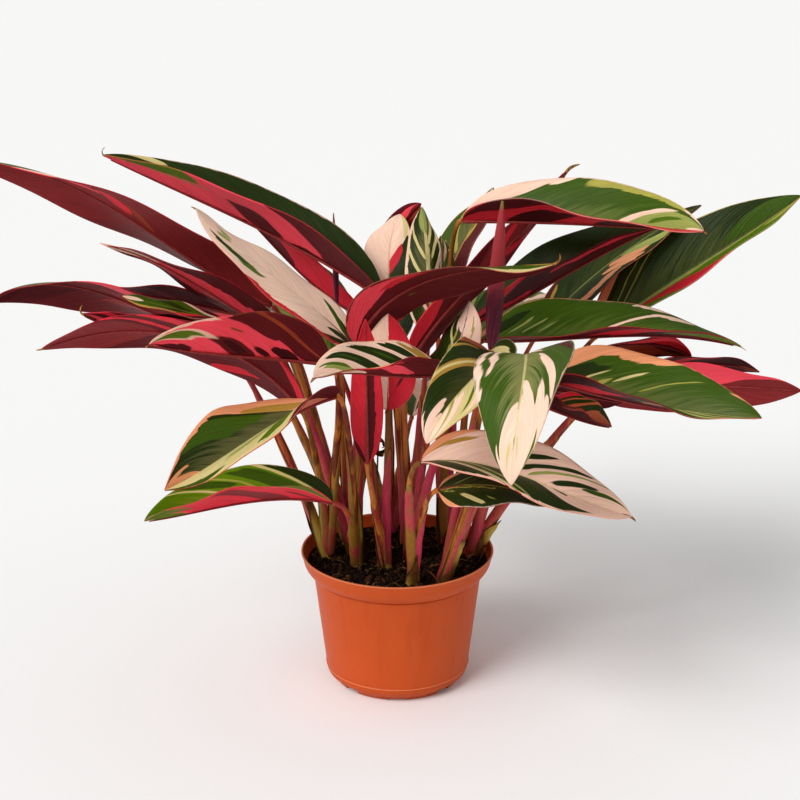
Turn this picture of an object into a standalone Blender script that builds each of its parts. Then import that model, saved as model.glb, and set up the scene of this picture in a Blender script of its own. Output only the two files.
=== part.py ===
# Potted stromanthe: a nursery pot of soil with leafy shoots, each leaf blade its own piece.
# Metres, +Z up. The origin is the middle of the pot's foot, and -Y is the front of the plant.
import math

import bmesh
import bpy
from mathutils import Vector

MM = 0.001

# Pot
RIM_RADIUS = 76 * MM
POT_HEIGHT = 108 * MM
BAND_HEIGHT = 17 * MM
BAND_RADIUS = 74 * MM
NECK_RADIUS = 66.5 * MM
BODY_FOOT_RADIUS = 57 * MM
FOOT_RADIUS = 50 * MM
WALL = 2 * MM
FOOT_STEP = 8 * MM
FLOOR_UNDERSIDE = 4 * MM
BOSS_RADIUS = 14 * MM
POT_SIDES = 40
NOTCHES = 8
NOTCH_WIDTH = 13 * MM
NOTCH_LOW = 1.8 * MM
NOTCH_HIGH = 4.8 * MM
NOTCH_REACH = 15 * MM
BAND_TAPER = 8 * MM
BAND_SHOULDER = 2.5 * MM

# Soil
GAP = 0.3 * MM
SOIL_TOP = 98 * MM
SOIL_SWELL = 2.5 * MM
HOLE_DEPTH = 16 * MM
HOLE_SIDES = 10

# Shoots
COLLAR_RADIUS = 5.4 * MM
COLLAR_TOP_RADIUS = 4.2 * MM
COLLAR_STRAIGHT = 4 * MM
COLLAR_RISE = 34 * MM
STALK_ROOT_RADIUS = 3.4 * MM
STALK_TIP_RADIUS = 1.9 * MM
STALK_SIDES = 5
STALK_RINGS = 8
STALK_SPREAD = 1.5 * MM
STALK_BOW = 0.6
STALK_LIFT = 12 * MM
KNEE = 12 * MM
ROLLED_SIDES = 7

# Blades
BLADE_STATIONS = (0, 0.05, 0.15, 0.29, 0.44, 0.6, 0.76, 0.9, 1)
BLADE_THICKNESS = 0.8 * MM
RIB_DEPTH = 1.3 * MM
RIB_SUBSTEPS = 4
HALF_COLUMNS = 2
HALF_CURL = -15.0
EDGE_WAVE = 1.6 * MM
EDGE_WAVES = 2.3
TIP_HALF_WIDTH = 0.8 * MM
HEEL_HALF_WIDTH = 2.2 * MM
WIDEST = 0.38

# Where each shoot stands in the soil, in millimetres from the middle of the pot
SHOOTS = {
    "shoot_left": (-54, 3),
    "shoot_left_front": (-32, -14),
    "shoot_front": (-9, -18),
    "shoot_middle": (9, -6),
    "shoot_front_edge": (12, -46),
    "shoot_right_front": (35, -40),
    "shoot_right": (43, -6),
    "shoot_right_edge": (57, 6),
    "shoot_left_back": (-40, 30),
    "shoot_left_middle": (-34, 9),
    "shoot_centre": (8, 22),
    "shoot_right_back": (36, 32),
    "shoot_back": (-6, 50),
}

# The blades on each shoot: heel, heading, pitch, length, half width, roll, fold and, for some, arch
BLADES = {
    "shoot_left": {
        "leaf_left_wavy": ((-129, -18, 275), (193, 191), (18, 33), 111, 21, (-54, -34), (43, 33), -10),
        "leaf_left_low": ((-71, -45, 238), (184, 176), (57, -24), 213, 27, (-50, -45), (12, -1), -4),
        "leaf_left_pink": ((-49, -60, 278), (203, 217), (14, 20), 143, 34, (-39, -15), (55, 70), -4),
    },
    "shoot_left_front": {
        "leaf_left_cream": ((-33, -28, 283), (186, 192), (49, 49), 155, 25, (27, 21), (14, -5), -8),
        "leaf_left_peach": ((-44, -80, 260), (226, 226), (2, -5), 160, 36, (-35, 35), (22, 45), -13),
        "leaf_left_lowest": ((-48, -55, 168), (172, 226), (11, 11), 148, 30, (-1, -2), (45, 55), -14),
    },
    "shoot_front": {
        "leaf_middle_arch": ((-29, -45, 289), (-8, -5), (72, 5), 167, 29, (51, 21), (18, -25), -21),
        "leaf_front_cream": ((-7, -51, 240), (85, 85), (88, 80), 72, 21, (0, 0), (12, 8)),
        "leaf_front_red": ((-22, -64, 203), (-95, -95), (89, 87), 112, 12, (-8, -5), (6, 6), -2),
    },
    "shoot_middle": {
        "leaf_front_left": ((34, -92, 281), (201, 230), (-3, -1), 113, 28, (-5, 19), (60, 32), 16),
        "leaf_middle_tall": ((9, -6, 262), (6, 50), (62, 42), 198, 19, (55, 74), (13, 10), -13),
        "leaf_middle_cream": ((32, -42, 256), (64, 71), (29, 57), 79, 20, (-1, 25), (16, -2), -5),
    },
    "shoot_front_edge": {
        "leaf_right_low": ((17, -109, 220), (-6, -27), (13, -4), 155, 32, (-9, -24), (31, 20), -20),
        "leaf_right_low_dark": ((30, -90, 192), (-24, -14), (23, -28), 89, 22, (-34, 1), (0, 8), 2),
    },
    "shoot_right_front": {
        "leaf_right_small": ((101, -70, 252), (-14, -28), (-17, 3), 58, 22, (20, -12), (34, 55), -7),
        "leaf_front_hanging": ((87, -115, 297), (-88, -110), (36, -87), 152, 34, (-1, -35), (15, 18), 4),
        "leaf_front_folded": ((67, -60, 287), (-90, -145), (-2, -66), 126, 27, (-3, 31), (60, 21), 25),
    },
    "shoot_right": {
        "leaf_right_middle": ((66, -5, 280), (12, -14), (-5, -12), 196, 34, (-26, 12), (52, 27), 11),
        "leaf_right_front": ((108, -56, 266), (13, -31), (-22, 9), 164, 40, (-13, -19), (54, 34), -2),
    },
    "shoot_right_edge": {
        "leaf_right_rose": ((157, 15, 230), (-2, -7), (14, -3), 155, 25, (67, 65), (8, -8), -4),
        "leaf_right_tucked": ((114, 14, 257), (6, 15), (16, -31), 122, 23, (5, 57), (-3, 4), 10),
        "leaf_right_back": ((168, 40, 230), (1, -1), (24, -20), 121, 20, (28, 45), (11, 2), 5),
        "leaf_right_red": ((100, -12, 247), (-7, -9), (-9, -7), 71, 15, (39, 57), (5, -6), -1),
    },
    "shoot_left_back": {
        "leaf_left_arch": ((-13, 35, 303), (165, 181), (32, 27), 241, 32, (3, 8), (62, 66), -5),
        "leaf_left_arch_back": ((-32, 88, 275), (166, 165), (24, 43), 131, 24, (-25, -11), (48, 44), 9),
        "leaf_left_long": ((-96, 20, 300), (191, 177), (27, -2), 256, 31, (-33, -44), (50, -38), 22),
        "leaf_left_dark_back": ((-101, 40, 282), (179, 176), (14, 9), 134, 22, (-41, -42), (26, 1)),
    },
    "shoot_left_middle": {
        "leaf_left_narrow": ((-91, -5, 286), (191, 179), (31, 10), 148, 22, (-51, -17), (31, -5), 13),
        "leaf_left_dark": ((-123, 20, 277), (187, 172), (5, -41), 200, 28, (-24, -54), (45, -45), 38),
        "leaf_left_twisted": ((-100, -32, 296), (187, 185), (14, 15), 104, 13, (-28, 29), (18, 9), 2),
    },
    "shoot_centre": {
        "leaf_back_maroon": ((-1, 109, 280), (-22, -26), (96, 34), 91, 17, (78, 85), (18, 10), 15),
        "leaf_back_cream": ((-6, 50, 292), (100, 68), (74, 22), 86, 21, (0, 0), (10, 5)),
        "leaf_middle_striped": ((24, 10, 280), (98, 95), (89, 40), 104, 17, (-15, -10), (-15, -10), -3),
    },
    "shoot_right_back": {
        "leaf_middle_small": ((39, 38, 276), (94, 104), (81, 65), 75, 13, (-16, -17), (15, 10), -10),
        "leaf_middle_behind": ((33, 72, 275), (37, 28), (85, 60), 115, 23, (-13, -2), (43, 13), -14),
        "leaf_right_high": ((49, 28, 365), (-13, -57), (3, 8), 205, 36, (-1, -30), (62, 38), -1),
        "leaf_right_far": ((161, 75, 261), (13, 5), (36, 39), 197, 38, (-22, -26), (40, 46), -6),
        "leaf_right_shaded": ((116, 90, 261), (13, 6), (50, 28), 165, 25, (-17, -11), (16, 13), -3),
        "leaf_right_upper": ((60, 35, 282), (-1, 9), (27, 22), 160, 31, (5, -20), (47, 60), 5),
    },
    "shoot_back": {
        "leaf_rear_left": ((-52, 82, 240), (125, 142), (30, -28), 180, 30, (0, 5), (35, 20)),
        "leaf_rear_middle": ((-8, 100, 238), (100, 82), (28, -42), 172, 32, (0, 0), (32, 15)),
        "leaf_rear_right": ((52, 98, 236), (62, 44), (28, -25), 185, 31, (0, -5), (35, 20)),
        "leaf_rear_low": ((12, 104, 182), (78, 96), (18, -30), 140, 28, (5, 0), (30, 15)),
    },
}

# The rolled leaves: shoot, heel, tip and radius
ROLLED = {
    "leaf_rolled_middle": ("shoot_right", (70, -32, 279), (76, -30, 392), 7),
    "leaf_rolled_left": ("shoot_left_back", (-48, 70, 285), (-50, 70, 362), 2.4),
}


class Leaf:
    """A blade: heel and length in millimetres, and angles in degrees, each at the heel and at the tip.

    heading is the compass direction, 0 towards +X and 90 towards +Y. pitch is the climb, and arch is added
    to it half way. roll turns the blade about its rib, and fold lifts both halves into a trough.
    """

    def __init__(self, shoot, heel, heading, pitch, length, half_width, roll, fold, arch=0):
        self.shoot = shoot
        self.heel = Vector(heel) * MM
        self.heading = heading
        self.pitch = pitch
        self.length = length * MM
        self.half_width = half_width * MM
        self.roll = roll
        self.fold = fold
        self.arch = arch

    def frame(self, t):
        """The rib's direction, the blade's sideways direction and its upward one at t from heel to tip."""
        heading = math.radians(blend(self.heading, t))
        pitch = math.radians(blend(self.pitch, t) + self.arch * 4 * t * (1 - t))
        along = Vector(
            (math.cos(heading) * math.cos(pitch), math.sin(heading) * math.cos(pitch), math.sin(pitch))
        )
        side = Vector((math.sin(heading), -math.cos(heading), 0))
        return along, side, side.cross(along)

    def rib(self, stations):
        """Points along the rib at the stations, from the heel to the tip."""
        points = [self.heel.copy()]
        for before, after in zip(stations, stations[1:]):
            point = points[-1].copy()
            for k in range(RIB_SUBSTEPS):
                t = before + (after - before) * (k + 0.5) / RIB_SUBSTEPS
                point += self.frame(t)[0] * (self.length * (after - before) / RIB_SUBSTEPS)
            points.append(point)
        return points


def blend(pair, t):
    return pair[0] + (pair[1] - pair[0]) * t


class RolledLeaf:
    """A new leaf, still rolled into a spike from its heel to its tip."""

    def __init__(self, shoot, heel, tip, radius):
        self.shoot = shoot
        self.heel = Vector(heel) * MM
        self.tip = Vector(tip) * MM
        self.radius = radius * MM

    def frame(self, t):
        along = (self.tip - self.heel).normalized()
        side = along.orthogonal().normalized()
        return along, side, side.cross(along)


LEAVES = {}
for shoot, rows in BLADES.items():
    for name, row in rows.items():
        LEAVES[name] = Leaf(shoot, *row)
for name, row in ROLLED.items():
    LEAVES[name] = RolledLeaf(*row)


# Materials
def finish(name, colour, roughness=0.5):
    """A plain Principled material with one colour."""
    material = bpy.data.materials.new(name)
    material.use_nodes = True
    shader = material.node_tree.nodes["Principled BSDF"]
    shader.inputs["Base Color"].default_value = (*colour, 1)
    shader.inputs["Roughness"].default_value = roughness
    return material


# Helpers
def add_object(name, bm, material):
    """An object from a bmesh, with its faces pointing out."""
    bmesh.ops.recalc_face_normals(bm, faces=bm.faces)
    mesh = bpy.data.meshes.new(name)
    bm.to_mesh(mesh)
    bm.free()
    mesh.materials.append(material)
    item = bpy.data.objects.new(name, mesh)
    bpy.context.scene.collection.objects.link(item)
    return item


def turned(profile, sides):
    """A closed bmesh: the profile's (radius, height) points turned about Z, both ends on the axis."""
    bm = bmesh.new()
    rings = []
    for radius, height in profile:
        if radius == 0:
            rings.append([bm.verts.new((0, 0, height))])
            continue
        angles = [2 * math.pi * i / sides for i in range(sides)]
        rings.append([bm.verts.new((radius * math.cos(a), radius * math.sin(a), height)) for a in angles])
    for low, high in zip(rings, rings[1:]):
        for i in range(sides):
            j = (i + 1) % sides
            corners = [low[i % len(low)], low[j % len(low)], high[j % len(high)], high[i % len(high)]]
            bm.faces.new(list(dict.fromkeys(corners)))
    return bm


def tube(points, radii, sides, end_along=None):
    """A closed bmesh: a tapered tube through the points, whose last ring may face a given way."""
    bm = bmesh.new()
    rings = []
    across = None
    for i, point in enumerate(points):
        along = (points[min(i + 1, len(points) - 1)] - points[max(i - 1, 0)]).normalized()
        if end_along and i == len(points) - 1:
            along = end_along
        if across is None:
            across = along.orthogonal().normalized()
        across = (across - along * across.dot(along)).normalized()
        other = along.cross(across)
        ring = []
        for k in range(sides):
            angle = 2 * math.pi * k / sides
            outward = math.cos(angle) * across + math.sin(angle) * other
            ring.append(bm.verts.new(point + radii[i] * outward))
        rings.append(ring)
    for low, high in zip(rings, rings[1:]):
        for k in range(sides):
            n = (k + 1) % sides
            bm.faces.new((low[k], low[n], high[n], high[k]))
    bm.faces.new(rings[0][::-1])
    bm.faces.new(rings[-1])
    return bm


def join(item, others, operation, solver="MANIFOLD"):
    """Adds the others to the item, or cuts them from it, and removes them."""
    group = bpy.data.collections.new("joined")
    bpy.context.scene.collection.children.link(group)
    for other in others:
        bpy.context.scene.collection.objects.unlink(other)
        group.objects.link(other)
    modifier = item.modifiers.new("join", "BOOLEAN")
    modifier.operation = operation
    modifier.operand_type = "COLLECTION"
    modifier.collection = group
    modifier.solver = solver
    bpy.context.view_layer.objects.active = item
    bpy.ops.object.modifier_apply(modifier=modifier.name)
    for other in others:
        bpy.data.objects.remove(other)
    bpy.data.collections.remove(group)


# Pot
def make_pot():
    band_foot = POT_HEIGHT - BAND_HEIGHT
    profile = [
        (0, 0),
        (BOSS_RADIUS, 0),
        (BOSS_RADIUS + 1 * MM, FLOOR_UNDERSIDE),
        (FOOT_RADIUS - 4 * MM, FLOOR_UNDERSIDE),
        (FOOT_RADIUS - 3 * MM, 0),
        (FOOT_RADIUS, 0),
        (FOOT_RADIUS + 2 * MM, FOOT_STEP * 0.45),
        (BODY_FOOT_RADIUS - 1.5 * MM, FOOT_STEP * 0.8),
        (BODY_FOOT_RADIUS, FOOT_STEP * 1.5),
        (NECK_RADIUS, band_foot),
        (BAND_RADIUS - BAND_SHOULDER, band_foot + BAND_TAPER * 0.5),
        (BAND_RADIUS, band_foot + BAND_TAPER),
        (RIM_RADIUS - 0.4 * MM, POT_HEIGHT - 0.8 * MM),
        (RIM_RADIUS - 1 * MM, POT_HEIGHT),
        (RIM_RADIUS - 1.8 * MM, POT_HEIGHT),
        (BAND_RADIUS - WALL, band_foot + BAND_TAPER),
        (BAND_RADIUS - BAND_SHOULDER - WALL, band_foot + BAND_TAPER * 0.5),
        (NECK_RADIUS - WALL, band_foot - 1 * MM),
        (BODY_FOOT_RADIUS - WALL, FOOT_STEP * 1.5),
        (FOOT_RADIUS, FLOOR_UNDERSIDE + WALL),
        (0, FLOOR_UNDERSIDE + WALL),
    ]
    plastic = finish("terracotta plastic", (0.62, 0.10, 0.03), 0.5)
    pot = add_object("pot", turned(profile, POT_SIDES), plastic)
    notches = []
    for i in range(NOTCHES):
        angle = math.radians(-90) + 2 * math.pi * i / NOTCHES
        bm = bmesh.new()
        bmesh.ops.create_cube(bm, size=1)
        height = (NOTCH_LOW, NOTCH_HIGH)[i % 2]
        bmesh.ops.scale(bm, verts=bm.verts, vec=(NOTCH_REACH, NOTCH_WIDTH, 2 * height))
        bmesh.ops.translate(bm, verts=bm.verts, vec=(FOOT_RADIUS, 0, 0))
        turn = Vector((math.cos(angle), math.sin(angle)))
        for vert in bm.verts:
            x, y = vert.co.x, vert.co.y
            vert.co.x = x * turn.x - y * turn.y
            vert.co.y = x * turn.y + y * turn.x
        notches.append(add_object("notch", bm, plastic))
    join(pot, notches, "DIFFERENCE", "EXACT")
    pot.data.shade_smooth()
    pot.data.set_sharp_from_angle(angle=math.radians(30))


# Soil
def soil_height(x, y):
    """The top of the soil: a low mound with soft lumps."""
    out = min(math.hypot(x, y) / (70 * MM), 1)
    lumps = math.sin(x * 210 + 1.3) * math.cos(y * 190 - 0.6) + 0.6 * math.sin(x * 430 - y * 370)
    return SOIL_TOP + SOIL_SWELL * (1 - out * out) + 0.8 * MM * lumps * (1 - out ** 4)


def make_soil():
    lean = (NECK_RADIUS - BODY_FOOT_RADIUS) / (POT_HEIGHT - BAND_HEIGHT - FOOT_STEP * 1.5)
    band_foot = POT_HEIGHT - BAND_HEIGHT
    low = FLOOR_UNDERSIDE + WALL + GAP
    inner = WALL + 1.5 * GAP
    profile = [(0, low), (FOOT_RADIUS - 2 * GAP, low), (BODY_FOOT_RADIUS - inner, FOOT_STEP * 1.5 + GAP)]
    profile.append((NECK_RADIUS - inner, band_foot - 1 * MM))
    profile.append((BAND_RADIUS - BAND_SHOULDER - inner - 0.5 * MM, band_foot + BAND_TAPER * 0.5))
    profile.append((BAND_RADIUS - inner - 0.5 * MM, SOIL_TOP))
    for share in (0.82, 0.62, 0.4, 0.2):
        profile.append((BAND_RADIUS * share, SOIL_TOP))
    profile.append((0, SOIL_TOP))
    bm = turned(profile, POT_SIDES)
    for vert in bm.verts:
        if vert.co.z > SOIL_TOP - 0.1 * MM and vert.co.xy.length < BAND_RADIUS * 0.9:
            vert.co.z = soil_height(vert.co.x, vert.co.y)
    soil = add_object("soil", bm, finish("soil", (0.02, 0.012, 0.008), 0.95))
    holes = []
    for x, y in SHOOTS.values():
        foot = Vector((x * MM, y * MM, SOIL_TOP - HOLE_DEPTH))
        radius = COLLAR_RADIUS + GAP
        points = [foot, foot + Vector((0, 0, HOLE_DEPTH * 2))]
        holes.append(add_object("hole", tube(points, [radius, radius], HOLE_SIDES), soil.data.materials[0]))
    join(soil, holes, "DIFFERENCE")


# Shoots
def stalk_points(start, leaf):
    """A stalk's path from the collar up to the blade's heel, with a short knee below the blade."""
    end = leaf.heel
    along = leaf.frame(0)[0]
    before = end - along * KNEE
    lift = (before - start) * STALK_BOW
    lift.z += STALK_LIFT
    points = []
    for i in range(STALK_RINGS):
        t = i / (STALK_RINGS - 1)
        s = 1 - t
        foot = start * s ** 3 + (start + lift) * 3 * s * s * t
        points.append(foot + before * 3 * s * t * t + end * t ** 3)
    return points


def make_shoot(name, place, material):
    """A collar in the soil, and a stalk to the heel of each of the shoot's blades."""
    foot = Vector((place[0] * MM, place[1] * MM, SOIL_TOP - HOLE_DEPTH + GAP))
    own = [leaf for leaf in LEAVES.values() if leaf.shoot == name]
    middle = sum((leaf.heel for leaf in own), Vector()) / len(own)
    lean = (middle - foot).normalized()
    top = foot + Vector((0, 0, HOLE_DEPTH + COLLAR_STRAIGHT))
    crown = top + lean * COLLAR_RISE
    collar = tube([foot, top, crown], [COLLAR_RADIUS, COLLAR_RADIUS, COLLAR_TOP_RADIUS], HOLE_SIDES)
    shoot = add_object(name, collar, material)
    stalks = []
    for leaf in own:
        aside = leaf.heel - foot
        aside.z = 0
        start = top + aside.normalized() * STALK_SPREAD
        points = stalk_points(start, leaf)
        last = len(points) - 1
        radii = [blend((STALK_ROOT_RADIUS, STALK_TIP_RADIUS), i / last) for i in range(last + 1)]
        bm = tube(points, radii, STALK_SIDES, leaf.frame(0)[0])
        stalks.append(add_object("stalk", bm, material))
    join(shoot, stalks, "UNION")
    shoot.data.shade_smooth()


# Blades
def half_width(t):
    """The share of the full half width at t: a rounded heel, the widest part, and a long pointed tip."""
    if t < WIDEST:
        return (1 - (1 - t / WIDEST) ** 2.4) ** 0.62
    return (1 - ((t - WIDEST) / (1 - WIDEST)) ** 2) ** 0.8


def make_blade(name, leaf, upper, under):
    """A closed sheet folded along its rib, split into triangles alike on both faces."""
    rib = leaf.rib(BLADE_STATIONS)
    last = len(BLADE_STATIONS) - 1
    wave_start = sum(ord(c) for c in name) % 7
    bm = bmesh.new()
    tops, bottoms = [], []
    for t, point in zip(BLADE_STATIONS, rib):
        along, side, up = leaf.frame(t)
        if t == 0:
            point = point + along * GAP
        roll = math.radians(blend(leaf.roll, t))
        fold = math.radians(blend(leaf.fold, t))
        width = max(leaf.half_width * half_width(t), HEEL_HALF_WIDTH if t < 0.5 else TIP_HALF_WIDTH)
        crest = math.cos(roll) * up - math.sin(roll) * side
        top_row, bottom_row = [], []
        for sign in (-1, 1):
            place = point.copy()
            row = []
            for c in range(HALF_COLUMNS):
                middle = (c + 0.5) / HALF_COLUMNS
                angle = fold + math.radians(HALF_CURL) * middle + sign * roll
                out = sign * math.cos(angle) * side + math.sin(angle) * up
                normal = -sign * math.sin(angle) * side + math.cos(angle) * up
                place = place + out * (width / HALF_COLUMNS)
                share = (c + 1) / HALF_COLUMNS
                ripple = EDGE_WAVE * share ** 2 * math.sin(2 * math.pi * EDGE_WAVES * t + wave_start + sign)
                shift = normal * ripple * min(1, width / (leaf.half_width * 0.5))
                row.append((place + shift, normal))
            half = BLADE_THICKNESS / 2
            upper_side = [bm.verts.new(p + n * half) for p, n in row]
            lower_side = [bm.verts.new(p - n * half) for p, n in row]
            if sign < 0:
                top_row = upper_side[::-1] + [bm.verts.new(point + crest * half)]
                bottom_row = lower_side[::-1] + [bm.verts.new(point - crest * RIB_DEPTH)]
            else:
                top_row += upper_side
                bottom_row += lower_side
        tops.append(top_row)
        bottoms.append(bottom_row)
    columns = 2 * HALF_COLUMNS
    for i in range(last):
        for j in range(columns):
            for rows, slot in ((tops, 0), (bottoms, 1)):
                a, b, c, d = rows[i][j], rows[i][j + 1], rows[i + 1][j + 1], rows[i + 1][j]
                for corners in ((a, b, c), (a, c, d)):
                    bm.faces.new(corners).material_index = slot
        for j in (0, columns):
            a, b, c, d = tops[i][j], tops[i + 1][j], bottoms[i + 1][j], bottoms[i][j]
            for corners in ((a, b, c), (a, c, d)):
                bm.faces.new(corners).material_index = 1
    for i in (0, last):
        for j in range(columns):
            a, b, c, d = tops[i][j], tops[i][j + 1], bottoms[i][j + 1], bottoms[i][j]
            for corners in ((a, b, c), (a, c, d)):
                bm.faces.new(corners).material_index = 1
    blade = add_object(name, bm, upper)
    blade.data.materials.append(under)
    blade.data.shade_smooth()
    blade.data.set_sharp_from_angle(angle=math.radians(50))


def make_rolled(name, leaf, material):
    """A rolled leaf: a slim spike, widest below its middle."""
    shares = (0, 0.12, 0.3, 0.5, 0.7, 0.88, 1)
    widths = (0.3, 0.75, 1, 0.95, 0.72, 0.38, 0.12)
    along = leaf.frame(0)[0]
    start = leaf.heel + along * GAP
    points = [start + (leaf.tip - start) * share for share in shares]
    radii = [leaf.radius * width for width in widths]
    rolled = add_object(name, tube(points, radii, ROLLED_SIDES), material)
    rolled.data.shade_smooth()


def build():
    for item in list(bpy.data.objects):
        bpy.data.objects.remove(item)
    make_pot()
    make_soil()
    stalk = finish("leaf stalk", (0.35, 0.07, 0.10), 0.5)
    for name, place in SHOOTS.items():
        make_shoot(name, place, stalk)
    upper = finish("leaf upper side", (0.06, 0.14, 0.03), 0.45)
    under = finish("leaf underside", (0.25, 0.02, 0.04), 0.5)
    for name, leaf in LEAVES.items():
        if isinstance(leaf, RolledLeaf):
            make_rolled(name, leaf, under)
        else:
            make_blade(name, leaf, upper, under)


build()
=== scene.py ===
# %% [markdown]
# # A potted stromanthe
#
# The real object is a house plant in a nursery pot. Its long leaves are painted by nature in green, cream
# and pink above and in wine red below, and they stand on thin stalks that rise from the soil in clumps.
#
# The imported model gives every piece's place and size. This lesson dresses it: each blade, each shoot, the
# soil and the pot get a finer piece that keeps the form of the solid it stands for.

# %% Load the frame
import math

import bmesh
import bpy
import numpy as np
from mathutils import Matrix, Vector


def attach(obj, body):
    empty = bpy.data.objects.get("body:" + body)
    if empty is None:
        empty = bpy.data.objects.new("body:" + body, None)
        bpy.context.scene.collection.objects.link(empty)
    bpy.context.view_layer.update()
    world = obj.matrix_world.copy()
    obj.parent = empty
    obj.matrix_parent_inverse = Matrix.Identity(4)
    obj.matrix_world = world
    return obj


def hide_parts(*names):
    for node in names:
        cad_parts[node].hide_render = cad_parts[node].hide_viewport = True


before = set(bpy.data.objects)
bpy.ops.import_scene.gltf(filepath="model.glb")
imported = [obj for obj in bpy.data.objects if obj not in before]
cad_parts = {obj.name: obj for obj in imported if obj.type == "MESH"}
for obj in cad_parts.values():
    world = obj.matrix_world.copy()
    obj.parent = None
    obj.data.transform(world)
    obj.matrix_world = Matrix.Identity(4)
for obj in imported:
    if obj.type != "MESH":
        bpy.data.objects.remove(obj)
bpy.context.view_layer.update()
scene = bpy.context.scene
MM = 0.001
print("nodes in the frame:", len(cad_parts))

# %% [markdown]
# ## Camera, floor and light
#
# The photograph looks slightly down on the plant from about 1.3 m away, through a fairly long lens. The
# camera is set by its target, its distance and its angle above the horizon, so it can be checked against
# the photograph by one number at a time. The floor is a plain pale sheet, and the light is a large soft
# lamp from the upper left with a bright, even surround.

# %% Camera
TARGET = Vector((2.1, 0, 231)) * MM
CAMERA_DISTANCE = 1300 * MM
CAMERA_ELEVATION = math.radians(18.24)
LENS = 76.16

bpy.ops.object.camera_add(
    location=TARGET + CAMERA_DISTANCE * Vector((0, -math.cos(CAMERA_ELEVATION), math.sin(CAMERA_ELEVATION))),
    rotation=(math.pi / 2 - CAMERA_ELEVATION, 0, 0),
)
camera = bpy.context.object
camera.name = "camera"
camera.data.lens = LENS
camera.data.sensor_width = 36
camera.data.clip_start = 0.01
scene.camera = camera
scene.view_settings.view_transform = "Standard"
print("camera height in metres:", round(camera.location.z, 3))


# %% Materials: a Principled shader and a few short ways to wire nodes
def colour(red, green, blue):
    """A screen colour, 0 to 255, as the linear numbers that a shader wants."""
    parts = []
    for value in (red, green, blue):
        share = value / 255
        parts.append(share / 12.92 if share <= 0.04045 else ((share + 0.055) / 1.055) ** 2.4)
    return (*parts, 1)


def new_material(name, base, roughness, specular=0.5):
    """A material with a Principled shader, and the shader itself."""
    material = bpy.data.materials.new(name)
    material.use_nodes = True
    shader = material.node_tree.nodes["Principled BSDF"]
    shader.inputs["Base Color"].default_value = base
    shader.inputs["Roughness"].default_value = roughness
    shader.inputs["Specular IOR Level"].default_value = specular
    return material, shader


def feed(tree, socket, value):
    """Puts a number, a colour or another node's output into a socket."""
    if isinstance(value, bpy.types.NodeSocket):
        tree.links.new(value, socket)
    else:
        socket.default_value = value


def math_node(tree, operation, a, b=0.0, c=0.0):
    node = tree.nodes.new("ShaderNodeMath")
    node.operation = operation
    for socket, value in zip(node.inputs, (a, b, c)):
        feed(tree, socket, value)
    return node.outputs[0]


def ramp_up(tree, value, low, high):
    """0 below low, 1 above high and a smooth step between."""
    node = tree.nodes.new("ShaderNodeMapRange")
    node.interpolation_type = "SMOOTHSTEP"
    feed(tree, node.inputs["Value"], value)
    feed(tree, node.inputs["From Min"], low)
    feed(tree, node.inputs["From Max"], high)
    return node.outputs["Result"]


def mix_colour(tree, mask, under, over, blend_type="MIX"):
    node = tree.nodes.new("ShaderNodeMix")
    node.data_type = "RGBA"
    node.blend_type = blend_type
    feed(tree, node.inputs[0], mask)
    feed(tree, node.inputs[6], under)
    feed(tree, node.inputs[7], over)
    return node.outputs[2]


def noise(tree, vector, scale, detail=2.0, roughness=0.5):
    node = tree.nodes.new("ShaderNodeTexNoise")
    feed(tree, node.inputs["Vector"], vector)
    node.inputs["Scale"].default_value = scale
    node.inputs["Detail"].default_value = detail
    node.inputs["Roughness"].default_value = roughness
    return node.outputs["Fac"]


def combine(tree, x, y, z=0.0):
    node = tree.nodes.new("ShaderNodeCombineXYZ")
    for socket, value in zip(node.inputs, (x, y, z)):
        feed(tree, socket, value)
    return node.outputs[0]


def bump(tree, height, strength, distance):
    node = tree.nodes.new("ShaderNodeBump")
    node.inputs["Strength"].default_value = strength
    node.inputs["Distance"].default_value = distance
    feed(tree, node.inputs["Height"], height)
    return node.outputs["Normal"]


def object_place(tree, stretch=(1, 1, 1)):
    """The place on the object in metres, stretched by a factor along each axis."""
    where = tree.nodes.new("ShaderNodeTexCoord")
    mapping = tree.nodes.new("ShaderNodeMapping")
    mapping.inputs["Scale"].default_value = stretch
    tree.links.new(where.outputs["Object"], mapping.inputs["Vector"])
    return mapping.outputs["Vector"]


print("terracotta on screen is", [round(part, 3) for part in colour(186, 74, 34)[:3]])

# %% Floor and light
FLOOR_SIZE = 30.0
bpy.ops.object.select_all(action="DESELECT")
bpy.ops.mesh.primitive_plane_add(size=FLOOR_SIZE, location=(0, 0, 0))
floor = bpy.context.object
floor.name = "floor"
floor_material, _ = new_material("pale floor", colour(250, 250, 249), 0.85, 0.1)
floor.data.materials.append(floor_material)

world = bpy.data.worlds.new("studio")
scene.world = world
world.use_nodes = True
surround = world.node_tree.nodes["Background"]
surround.inputs["Color"].default_value = (1, 1, 1, 1)
surround.inputs["Strength"].default_value = 0.5


def add_sun(name, towards, spread, strength):
    """A soft lamp so far away that it lights the plant and the whole floor alike."""
    bpy.ops.object.light_add(type="SUN", location=(0, 0, 2))
    lamp = bpy.context.object
    lamp.name = name
    lamp.data.angle = math.radians(spread)
    lamp.data.energy = strength
    lamp.rotation_euler = Vector(towards).to_track_quat("-Z", "Y").to_euler()


add_sun("key lamp", (0.72, 0.72, -0.92), 34, 2.3)

# %% [markdown]
# ## A sheet that can be folded, rolled or bent
#
# Leaves, stalks and sheaths are all sheets in nature: flat ones, rolled ones and wrapped ones. So each is
# started as a flat grid, which brings a UV map with it, and every point is then moved to its place by a
# rule that knows how far across and how far along the sheet it lies. The UV map stays as it was, so a
# pattern can follow the veins however the sheet is bent.


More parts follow.
